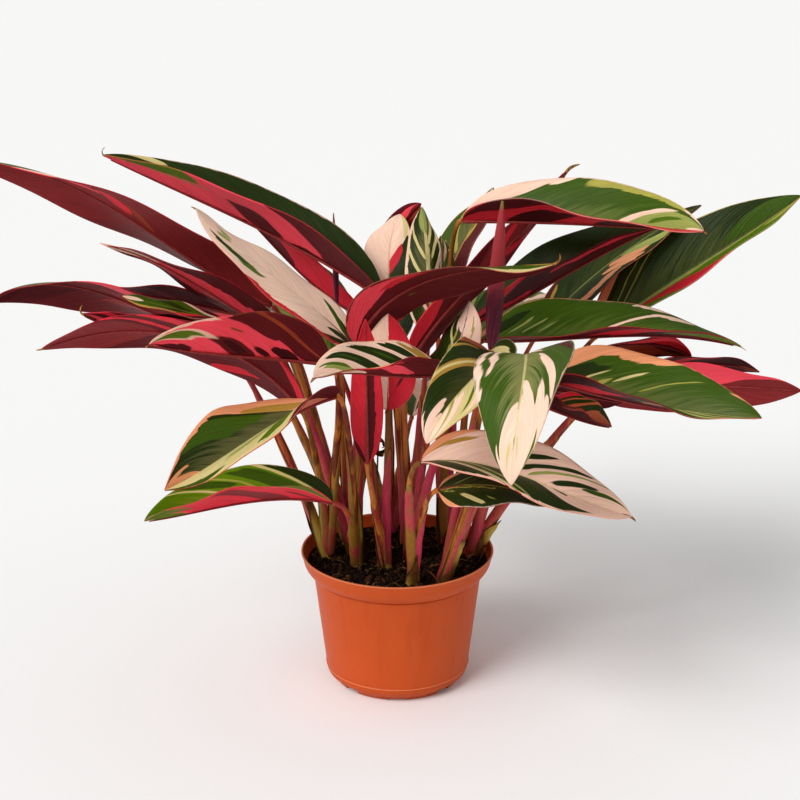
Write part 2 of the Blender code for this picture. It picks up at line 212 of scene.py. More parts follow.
# %% Sheets and tubes
def sheet(name, columns, rows, place):
    """A grid whose points go where place(across, along) says: across runs -1 to 1, along 0 to 1."""
    bpy.ops.object.select_all(action="DESELECT")
    bpy.ops.mesh.primitive_grid_add(x_subdivisions=columns, y_subdivisions=rows, size=2)
    piece = bpy.context.object
    piece.name = name
    piece.data.name = name
    flat = np.empty(len(piece.data.vertices) * 3)
    piece.data.vertices.foreach_get("co", flat)
    flat = flat.reshape(-1, 3)
    moved = place(flat[:, 0], (flat[:, 1] + 1) / 2)
    piece.data.vertices.foreach_set("co", moved.ravel())
    piece.data.update()
    return piece


def unit(vectors):
    return vectors / np.linalg.norm(vectors, axis=-1, keepdims=True)


def path_frames(points):
    """For each point of a path, its direction and two directions across it that don't twist."""
    along = unit(np.gradient(points, axis=0))
    first = np.cross(along[0], (0.0, 0.0, 1.0))
    if np.linalg.norm(first) < 0.1:
        first = np.array((1.0, 0.0, 0.0))
    across = []
    for direction in along:
        first = unit(first - direction * first.dot(direction))
        across.append(first)
    across = np.array(across)
    return along, across, np.cross(along, across)


def along_path(values, share):
    """The values, one for each step of a path, read at shares from 0 to 1 along it."""
    steps = np.linspace(0, 1, len(values))
    values = np.asarray(values, float)
    if values.ndim == 1:
        return np.interp(share, steps, values)
    return np.stack([np.interp(share, steps, values[:, axis]) for axis in range(3)], axis=-1)


def rolled_sheet(name, points, radii, sides, rows):
    """A closed tube: a sheet rolled round a path, its seam merged and its ends filled."""
    points = np.asarray(points, float)
    _, across, other = path_frames(points)

    def place(u, v):
        turn = -np.pi * u
        out = np.cos(turn)[:, None] * along_path(across, v) + np.sin(turn)[:, None] * along_path(other, v)
        return along_path(points, v) + unit(out) * along_path(radii, v)[:, None]

    tube = sheet(name, sides, rows, place)
    bpy.ops.object.mode_set(mode="EDIT")
    bpy.ops.mesh.select_all(action="SELECT")
    bpy.ops.mesh.remove_doubles(threshold=0.00002)
    bpy.ops.mesh.fill_holes(sides=0)
    bpy.ops.mesh.normals_make_consistent(inside=False)
    bpy.ops.object.mode_set(mode="OBJECT")
    bpy.ops.object.shade_smooth()
    return tube


def thicken(piece, thickness, second_slot=0):
    """Turns a sheet into a closed skin, with the slot after the first on its other face and rim."""
    skin = piece.modifiers.new("skin", "SOLIDIFY")
    skin.thickness = thickness
    skin.offset = 0
    skin.material_offset = second_slot
    skin.material_offset_rim = second_slot
    bpy.context.view_layer.objects.active = piece
    bpy.ops.object.modifier_apply(modifier=skin.name)
    piece.data.shade_smooth()


def join_all(name, parts):
    """One piece from several."""
    bpy.ops.object.select_all(action="DESELECT")
    for part in parts:
        part.select_set(True)
    bpy.context.view_layer.objects.active = parts[0]
    if len(parts) > 1:
        bpy.ops.object.join()
    parts[0].name = name
    parts[0].data.name = name
    return parts[0]


def dress(piece, slot_name, *nodes):
    """The piece stands still with the plant and replaces its solids; slot_name is not used."""
    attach(piece, "root")
    if nodes:
        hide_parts(*nodes)


# %% [markdown]
# ## The leaves' places
#
# Each leaf is a gently bent rib with a half blade folded up on either side. A row gives its heel and
# length in millimetres and its angles in degrees, each at the heel and at the tip: heading is the compass
# direction (0 towards +X, 90 towards +Y), pitch the climb, roll the turn about the rib and fold the lift
# of both halves. These are the solids' own numbers, so a fine blade lies exactly where its solid does.

# %% Rows for the blades, by shoot
# Where each shoot stands in the soil, in millimetres from the middle of the pot
SHOOTS = {
    "shoot_left": (-54, 3),
    "shoot_left_front": (-32, -14),
    "shoot_front": (-9, -18),
    "shoot_middle": (9, -6),
    "shoot_front_edge": (12, -46),
    "shoot_right_front": (35, -40),
    "shoot_right": (43, -6),
    "shoot_right_edge": (57, 6),
    "shoot_left_back": (-40, 30),
    "shoot_left_middle": (-34, 9),
    "shoot_centre": (8, 22),
    "shoot_right_back": (36, 32),
    "shoot_back": (-6, 50),
}

# The blades on each shoot: heel, heading, pitch, length, half width, roll, fold and, for some, arch
BLADES = {
    "shoot_left": {
        "leaf_left_wavy": ((-129, -18, 275), (193, 191), (18, 33), 111, 21, (-54, -34), (43, 33), -10),
        "leaf_left_low": ((-71, -45, 238), (184, 176), (57, -24), 213, 27, (-50, -45), (12, -1), -4),
        "leaf_left_pink": ((-49, -60, 278), (203, 217), (14, 20), 143, 34, (-39, -15), (55, 70), -4),
    },
    "shoot_left_front": {
        "leaf_left_cream": ((-33, -28, 283), (186, 192), (49, 49), 155, 25, (27, 21), (14, -5), -8),
        "leaf_left_peach": ((-44, -80, 260), (226, 226), (2, -5), 160, 36, (-35, 35), (22, 45), -13),
        "leaf_left_lowest": ((-48, -55, 168), (172, 226), (11, 11), 148, 30, (-1, -2), (45, 55), -14),
    },
    "shoot_front": {
        "leaf_middle_arch": ((-29, -45, 289), (-8, -5), (72, 5), 167, 29, (51, 21), (18, -25), -21),
        "leaf_front_cream": ((-7, -51, 240), (85, 85), (88, 80), 72, 21, (0, 0), (12, 8)),
        "leaf_front_red": ((-22, -64, 203), (-95, -95), (89, 87), 112, 12, (-8, -5), (6, 6), -2),
    },
    "shoot_middle": {
        "leaf_front_left": ((34, -92, 281), (201, 230), (-3, -1), 113, 28, (-5, 19), (60, 32), 16),
        "leaf_middle_tall": ((9, -6, 262), (6, 50), (62, 42), 198, 19, (55, 74), (13, 10), -13),
        "leaf_middle_cream": ((32, -42, 256), (64, 71), (29, 57), 79, 20, (-1, 25), (16, -2), -5),
    },
    "shoot_front_edge": {
        "leaf_right_low": ((17, -109, 220), (-6, -27), (13, -4), 155, 32, (-9, -24), (31, 20), -20),
        "leaf_right_low_dark": ((30, -90, 192), (-24, -14), (23, -28), 89, 22, (-34, 1), (0, 8), 2),
    },
    "shoot_right_front": {
        "leaf_right_small": ((101, -70, 252), (-14, -28), (-17, 3), 58, 22, (20, -12), (34, 55), -7),
        "leaf_front_hanging": ((87, -115, 297), (-88, -110), (36, -87), 152, 34, (-1, -35), (15, 18), 4),
        "leaf_front_folded": ((67, -60, 287), (-90, -145), (-2, -66), 126, 27, (-3, 31), (60, 21), 25),
    },
    "shoot_right": {
        "leaf_right_middle": ((66, -5, 280), (12, -14), (-5, -12), 196, 34, (-26, 12), (52, 27), 11),
        "leaf_right_front": ((108, -56, 266), (13, -31), (-22, 9), 164, 40, (-13, -19), (54, 34), -2),
    },
    "shoot_right_edge": {
        "leaf_right_rose": ((157, 15, 230), (-2, -7), (14, -3), 155, 25, (67, 65), (8, -8), -4),
        "leaf_right_tucked": ((114, 14, 257), (6, 15), (16, -31), 122, 23, (5, 57), (-3, 4), 10),
        "leaf_right_back": ((168, 40, 230), (1, -1), (24, -20), 121, 20, (28, 45), (11, 2), 5),
        "leaf_right_red": ((100, -12, 247), (-7, -9), (-9, -7), 71, 15, (39, 57), (5, -6), -1),
    },
    "shoot_left_back": {
        "leaf_left_arch": ((-13, 35, 303), (165, 181), (32, 27), 241, 32, (3, 8), (62, 66), -5),
        "leaf_left_arch_back": ((-32, 88, 275), (166, 165), (24, 43), 131, 24, (-25, -11), (48, 44), 9),
        "leaf_left_long": ((-96, 20, 300), (191, 177), (27, -2), 256, 31, (-33, -44), (50, -38), 22),
        "leaf_left_dark_back": ((-101, 40, 282), (179, 176), (14, 9), 134, 22, (-41, -42), (26, 1)),
    },
    "shoot_left_middle": {
        "leaf_left_narrow": ((-91, -5, 286), (191, 179), (31, 10), 148, 22, (-51, -17), (31, -5), 13),
        "leaf_left_dark": ((-123, 20, 277), (187, 172), (5, -41), 200, 28, (-24, -54), (45, -45), 38),
        "leaf_left_twisted": ((-100, -32, 296), (187, 185), (14, 15), 104, 13, (-28, 29), (18, 9), 2),
    },
    "shoot_centre": {
        "leaf_back_maroon": ((-1, 109, 280), (-22, -26), (96, 34), 91, 17, (78, 85), (18, 10), 15),
        "leaf_back_cream": ((-6, 50, 292), (100, 68), (74, 22), 86, 21, (0, 0), (10, 5)),
        "leaf_middle_striped": ((24, 10, 280), (98, 95), (89, 40), 104, 17, (-15, -10), (-15, -10), -3),
    },
    "shoot_right_back": {
        "leaf_middle_small": ((39, 38, 276), (94, 104), (81, 65), 75, 13, (-16, -17), (15, 10), -10),
        "leaf_middle_behind": ((33, 72, 275), (37, 28), (85, 60), 115, 23, (-13, -2), (43, 13), -14),
        "leaf_right_high": ((49, 28, 365), (-13, -57), (3, 8), 205, 36, (-1, -30), (62, 38), -1),
        "leaf_right_far": ((161, 75, 261), (13, 5), (36, 39), 197, 38, (-22, -26), (40, 46), -6),
        "leaf_right_shaded": ((116, 90, 261), (13, 6), (50, 28), 165, 25, (-17, -11), (16, 13), -3),
        "leaf_right_upper": ((60, 35, 282), (-1, 9), (27, 22), 160, 31, (5, -20), (47, 60), 5),
    },
    "shoot_back": {
        "leaf_rear_left": ((-52, 82, 240), (125, 142), (30, -28), 180, 30, (0, 5), (35, 20)),
        "leaf_rear_middle": ((-8, 100, 238), (100, 82), (28, -42), 172, 32, (0, 0), (32, 15)),
        "leaf_rear_right": ((52, 98, 236), (62, 44), (28, -25), 185, 31, (0, -5), (35, 20)),
        "leaf_rear_low": ((12, 104, 182), (78, 96), (18, -30), 140, 28, (5, 0), (30, 15)),
    },
}

# The rolled leaves: shoot, heel, tip and radius
ROLLED = {
    "leaf_rolled_middle": ("shoot_right", (70, -32, 279), (76, -30, 392), 7),
    "leaf_rolled_left": ("shoot_left_back", (-48, 70, 285), (-50, 70, 362), 2.4),
}

# %% A blade's rib and surface
WIDEST = 0.38
HEEL_POWER = 2.4
HEEL_ROUNDNESS = 0.62
TIP_ROUNDNESS = 0.8
HALF_CURL = math.radians(-15)
EDGE_WAVE = 1.6 * MM
EDGE_WAVES = 2.3
RIB_STEPS = 160
HEEL_GAP = 0.3 * MM


def half_width(t):
    """The share of the full half width at t: a rounded heel, the widest part, and a long pointed tip."""
    heel = (1 - np.clip(1 - t / WIDEST, 0, 1) ** HEEL_POWER) ** HEEL_ROUNDNESS
    tip = (1 - np.clip((t - WIDEST) / (1 - WIDEST), 0, 1) ** 2) ** TIP_ROUNDNESS
    return np.where(t < WIDEST, heel, tip)


class Blade:
    """A leaf blade's rib, and the place of any point on it."""

    def __init__(self, name, heel, heading, pitch, length, half, roll, fold, arch=0):
        self.name = name
        self.heel = np.array(heel) * MM
        self.heading = heading
        self.pitch = pitch
        self.length = length * MM
        self.half = half * MM
        self.roll = roll
        self.fold = fold
        self.arch = arch
        steps = (np.arange(RIB_STEPS) + 0.5) / RIB_STEPS
        strides = self.directions(steps)[0] * self.length / RIB_STEPS
        self.rib = np.vstack([self.heel, self.heel + np.cumsum(strides, axis=0)])

    def directions(self, t):
        """The rib's direction, the blade's sideways direction and its upward one."""
        heading = np.radians(self.heading[0] + (self.heading[1] - self.heading[0]) * t)
        pitch = np.radians(self.pitch[0] + (self.pitch[1] - self.pitch[0]) * t + self.arch * 4 * t * (1 - t))
        flat = np.cos(pitch)
        along = np.stack([np.cos(heading) * flat, np.sin(heading) * flat, np.sin(pitch)], axis=-1)
        side = np.stack([np.sin(heading), -np.cos(heading), np.zeros_like(heading)], axis=-1)
        return along, side, np.cross(side, along)

    def surface(self, u, v):
        """Where the sheet's point lies: u is -1 to 1 across the blade, and v 0 to 1 from heel to tip."""
        _, side, up = self.directions(v)
        roll = np.radians(self.roll[0] + (self.roll[1] - self.roll[0]) * v)
        fold = np.radians(self.fold[0] + (self.fold[1] - self.fold[0]) * v)
        way = np.where(u < 0, -1.0, 1.0)
        out = np.abs(u)
        start = fold + way * roll
        end = start + HALF_CURL * out
        reach = way * (np.sin(end) - np.sin(start)) / HALF_CURL
        rise = (np.cos(start) - np.cos(end)) / HALF_CURL
        width = np.maximum(self.half * half_width(v), 0.5 * MM)
        place = along_path(self.rib, v) + width[:, None] * (reach[:, None] * side + rise[:, None] * up)
        normal = -(way * np.sin(end))[:, None] * side + np.cos(end)[:, None] * up
        start_wave = sum(ord(letter) for letter in self.name) % 7
        wave = EDGE_WAVE * out ** 2 * np.sin(2 * np.pi * EDGE_WAVES * v + start_wave + way)
        wave = wave * np.minimum(1, width / (self.half * 0.5))
        return place + normal * wave[:, None]

    def vein_slope(self):
        """How far a side vein runs towards the tip on its way from rib to margin, as a share of length."""
        return min(0.5, 1.9 * self.half / self.length)


blades = {}
shoot_of = {}
for shoot, rows in BLADES.items():
    for name, row in rows.items():
        blades[name] = Blade(name, *row)
        shoot_of[name] = shoot
print("blades:", len(blades), "rolled leaves:", len(ROLLED))

# %% [markdown]
# ## How the leaves are painted
#
# In a real leaf the colour runs in lanes. Side veins leave the rib at a slant, and a pale or a green patch
# is bounded by two veins, with a ragged edge where some lanes stop sooner than others. So the pattern is
# worked out in leaf measures: how far along the rib the vein through a point begins, how far out the point
# lies, and on which half. A patch is then a simple box in those measures, with its ends roughened.
#
# The same patch shows on both faces, in other colours: green above is wine red below, and cream above is
# pink below. Each tone is therefore a pair.

# %% Tones: the colour above and the colour below
TONES = {
    "deep": (colour(34, 48, 5), colour(66, 16, 18)),
    "green": (colour(58, 84, 8), colour(98, 24, 28)),
    "maroon": (colour(62, 82, 10), colour(132, 40, 42)),
    "fresh": (colour(96, 130, 6), colour(160, 38, 48)),
    "leaf": (colour(80, 108, 12), colour(92, 112, 26)),
    "sage": (colour(150, 158, 80), colour(128, 38, 42)),
    "lime": (colour(166, 160, 70), colour(156, 58, 40)),
    "straw": (colour(212, 196, 132), colour(196, 110, 86)),
    "ochre": (colour(176, 134, 56), colour(152, 74, 40)),
    "cream": (colour(244, 202, 178), colour(250, 76, 92)),
    "milk": (colour(246, 206, 182), colour(238, 188, 164)),
    "peach": (colour(232, 154, 108), colour(218, 44, 60)),
    "rose": (colour(202, 34, 50), colour(202, 38, 52)),
    "wine": (colour(88, 22, 28), colour(84, 20, 26)),
    "rust": (colour(180, 88, 54), colour(152, 60, 36)),
    "dry": (colour(142, 88, 44), colour(118, 62, 34)),
}

# %% Node group: where a point lies in leaf measures
def new_group(name, inputs, outputs):
    """An empty shader node group with named number sockets."""
    group = bpy.data.node_groups.new(name, "ShaderNodeTree")
    for label, value in inputs:
        socket = group.interface.new_socket(label, in_out="INPUT", socket_type="NodeSocketFloat")
        socket.default_value = value
    for label in outputs:
        group.interface.new_socket(label, in_out="OUTPUT", socket_type="NodeSocketFloat")
    start = group.nodes.new("NodeGroupInput")
    end = group.nodes.new("NodeGroupOutput")
    return group, start.outputs, end.inputs


VEIN_CURVE = 1.25

measures, given, result = new_group(
    "leaf measures",
    [("Slope", 0.3), ("Seed", 0.0), ("Ragged", 0.24), ("Wobble", 0.05)],
    ["Half", "Out", "Vein", "Ragged Out", "Ragged Vein", "Along"],
)
uv = measures.nodes.new("ShaderNodeUVMap")
uv.uv_map = "UVMap"
split = measures.nodes.new("ShaderNodeSeparateXYZ")
measures.links.new(uv.outputs[0], split.inputs[0])
across = math_node(measures, "MULTIPLY_ADD", split.outputs[0], 2.0, -1.0)
out = math_node(measures, "ABSOLUTE", across)
half = math_node(measures, "SIGN", across)
curved = math_node(measures, "POWER", out, VEIN_CURVE)
slant = math_node(measures, "MULTIPLY", curved, given["Slope"])
vein = math_node(measures, "SUBTRACT", split.outputs[1], slant)
own = math_node(measures, "MULTIPLY_ADD", half, 3.7, given["Seed"])
fingers = noise(measures, combine(measures, math_node(measures, "MULTIPLY", vein, 13.0), own), 1.0, 1.0, 0.5)
threads = noise(measures, combine(measures, math_node(measures, "MULTIPLY", vein, 70.0), own), 1.0, 1.0, 0.5)
fingers = math_node(measures, "SUBTRACT", math_node(measures, "MULTIPLY_ADD", threads, 0.28, fingers), 0.64)
ragged_out = math_node(measures, "MULTIPLY_ADD", fingers, given["Ragged"], out)
drift = combine(measures, math_node(measures, "MULTIPLY", vein, 6.0), math_node(measures, "MULTIPLY", out, 2.6), own)
drift = math_node(measures, "SUBTRACT", noise(measures, drift, 1.0, 2.0), 0.5)
ragged_vein = math_node(measures, "MULTIPLY_ADD", drift, given["Wobble"], vein)
for label, value in (
    ("Half", half), ("Out", out), ("Vein", vein), ("Ragged Out", ragged_out), ("Ragged Vein", ragged_vein),
    ("Along", split.outputs[1]),
):
    measures.links.new(value, result[label])
print("group sockets:", [item.name for item in measures.interface.items_tree])

# %% Node group: one patch between two veins
VEIN_UNIT = 0.0065
OUT_UNIT = 0.032
CORNER = 5.0

patch_group, given, result = new_group(
    "vein patch",
    [("Half", 0.0), ("Vein", 0.0), ("Out", 0.0), ("Fray", 0.0), ("On Half", 0.0), ("From", 0.0), ("To", 1.0),
     ("Inner", 0.0), ("Outer", 1.0)],
    ["Mask"],
)


def beyond(value, low, high, size):
    """How far a value lies outside a span, in units of size, with room for a round corner."""
    middle = math_node(patch_group, "MULTIPLY", math_node(patch_group, "ADD", low, high), 0.5)
    reach = math_node(patch_group, "MULTIPLY", math_node(patch_group, "SUBTRACT", high, low), 0.5)
    gap = math_node(patch_group, "ABSOLUTE", math_node(patch_group, "SUBTRACT", value, middle))
    gap = math_node(patch_group, "DIVIDE", math_node(patch_group, "SUBTRACT", gap, reach), size)
    return math_node(patch_group, "MAXIMUM", math_node(patch_group, "ADD", gap, CORNER), 0.0)


over_veins = beyond(given["Vein"], given["From"], given["To"], VEIN_UNIT)
over_out = beyond(given["Out"], given["Inner"], given["Outer"], OUT_UNIT)
squares = math_node(patch_group, "MULTIPLY_ADD", over_veins, over_veins, math_node(patch_group, "MULTIPLY", over_out, over_out))
outside = math_node(patch_group, "SUBTRACT", math_node(patch_group, "SQRT", squares), CORNER)
soft = math_node(patch_group, "MULTIPLY_ADD", given["Fray"], 1.0, 0.3)
inside = math_node(patch_group, "SUBTRACT", 1.0, ramp_up(patch_group, outside, math_node(patch_group, "MULTIPLY", soft, -1.0), soft))
half_gap = math_node(patch_group, "ABSOLUTE", math_node(patch_group, "SUBTRACT", given["Half"], given["On Half"]))
on_half = math_node(patch_group, "LESS_THAN", half_gap, 1.5)
patch_group.links.new(math_node(patch_group, "MULTIPLY", inside, on_half), result["Mask"])
print("patch sockets:", [item.name for item in patch_group.interface.items_tree])

# %% Node group: fine veins, pale feathers beside the rib, rib line and rim line
grain_group, given, result = new_group(
    "leaf grain",
    [("Half", 0.0), ("Vein", 0.0), ("Out", 0.0), ("Along", 0.0), ("Seed", 0.0)],
    ["Grain", "Bands", "Feather", "Fray", "Rib", "Rim", "Relief"],
)


def lengthwise(per_length, across_scale, detail, roughness=0.55):
    """Noise that is drawn out along the veins."""
    vector = combine(
        grain_group, math_node(grain_group, "MULTIPLY", given["Vein"], per_length),
        math_node(grain_group, "MULTIPLY", given["Out"], across_scale), own,
    )
    return noise(grain_group, vector, 1.0, detail, roughness)


own = math_node(grain_group, "MULTIPLY_ADD", given["Half"], 5.3, given["Seed"])
fine = lengthwise(160.0, 2.5, 3.0, 0.6)
bands = lengthwise(34.0, 1.6, 2.0)
broad = lengthwise(9.0, 1.4, 2.0)
barb = math_node(grain_group, "MULTIPLY_ADD", bands, 1.9, -0.55)
barb = math_node(grain_group, "MULTIPLY_ADD", fine, 0.35, barb)
feather = ramp_up(grain_group, given["Out"], barb, math_node(grain_group, "MULTIPLY_ADD", barb, 0.3, -0.06))
narrowing = math_node(grain_group, "MULTIPLY_ADD", given["Along"], -0.03, 0.05)
rib = ramp_up(grain_group, given["Out"], narrowing, math_node(grain_group, "MULTIPLY", narrowing, 0.45))
rim_place = math_node(grain_group, "MULTIPLY_ADD", bands, 0.07, 0.93)
rim = ramp_up(grain_group, given["Out"], rim_place, math_node(grain_group, "ADD", rim_place, 0.035))
pleat = math_node(grain_group, "SINE", math_node(grain_group, "MULTIPLY", given["Vein"], 190.0))
relief = math_node(grain_group, "MULTIPLY_ADD", bands, 1.6, math_node(grain_group, "MULTIPLY", fine, 0.45))
relief = math_node(grain_group, "MULTIPLY_ADD", pleat, 0.12, relief)
relief = math_node(grain_group, "MULTIPLY_ADD", rib, -0.5, relief)
for label, value in (
    ("Grain", fine), ("Bands", bands), ("Feather", feather), ("Rib", rib), ("Rim", rim), ("Relief", relief),
    ("Fray", ramp_up(grain_group, broad, 0.42, 0.72)),
):
    grain_group.links.new(value, result[label])
print("leaf groups:", [group.name for group in bpy.data.node_groups])

# %% [markdown]
# ## Each leaf's own patches
#
# A row of patches reads: on which half (1, -1 or 0 for both), from and to which vein, inner and outer reach
# from rib to margin, and the tone. They are painted in order over the first tone, as with a brush.

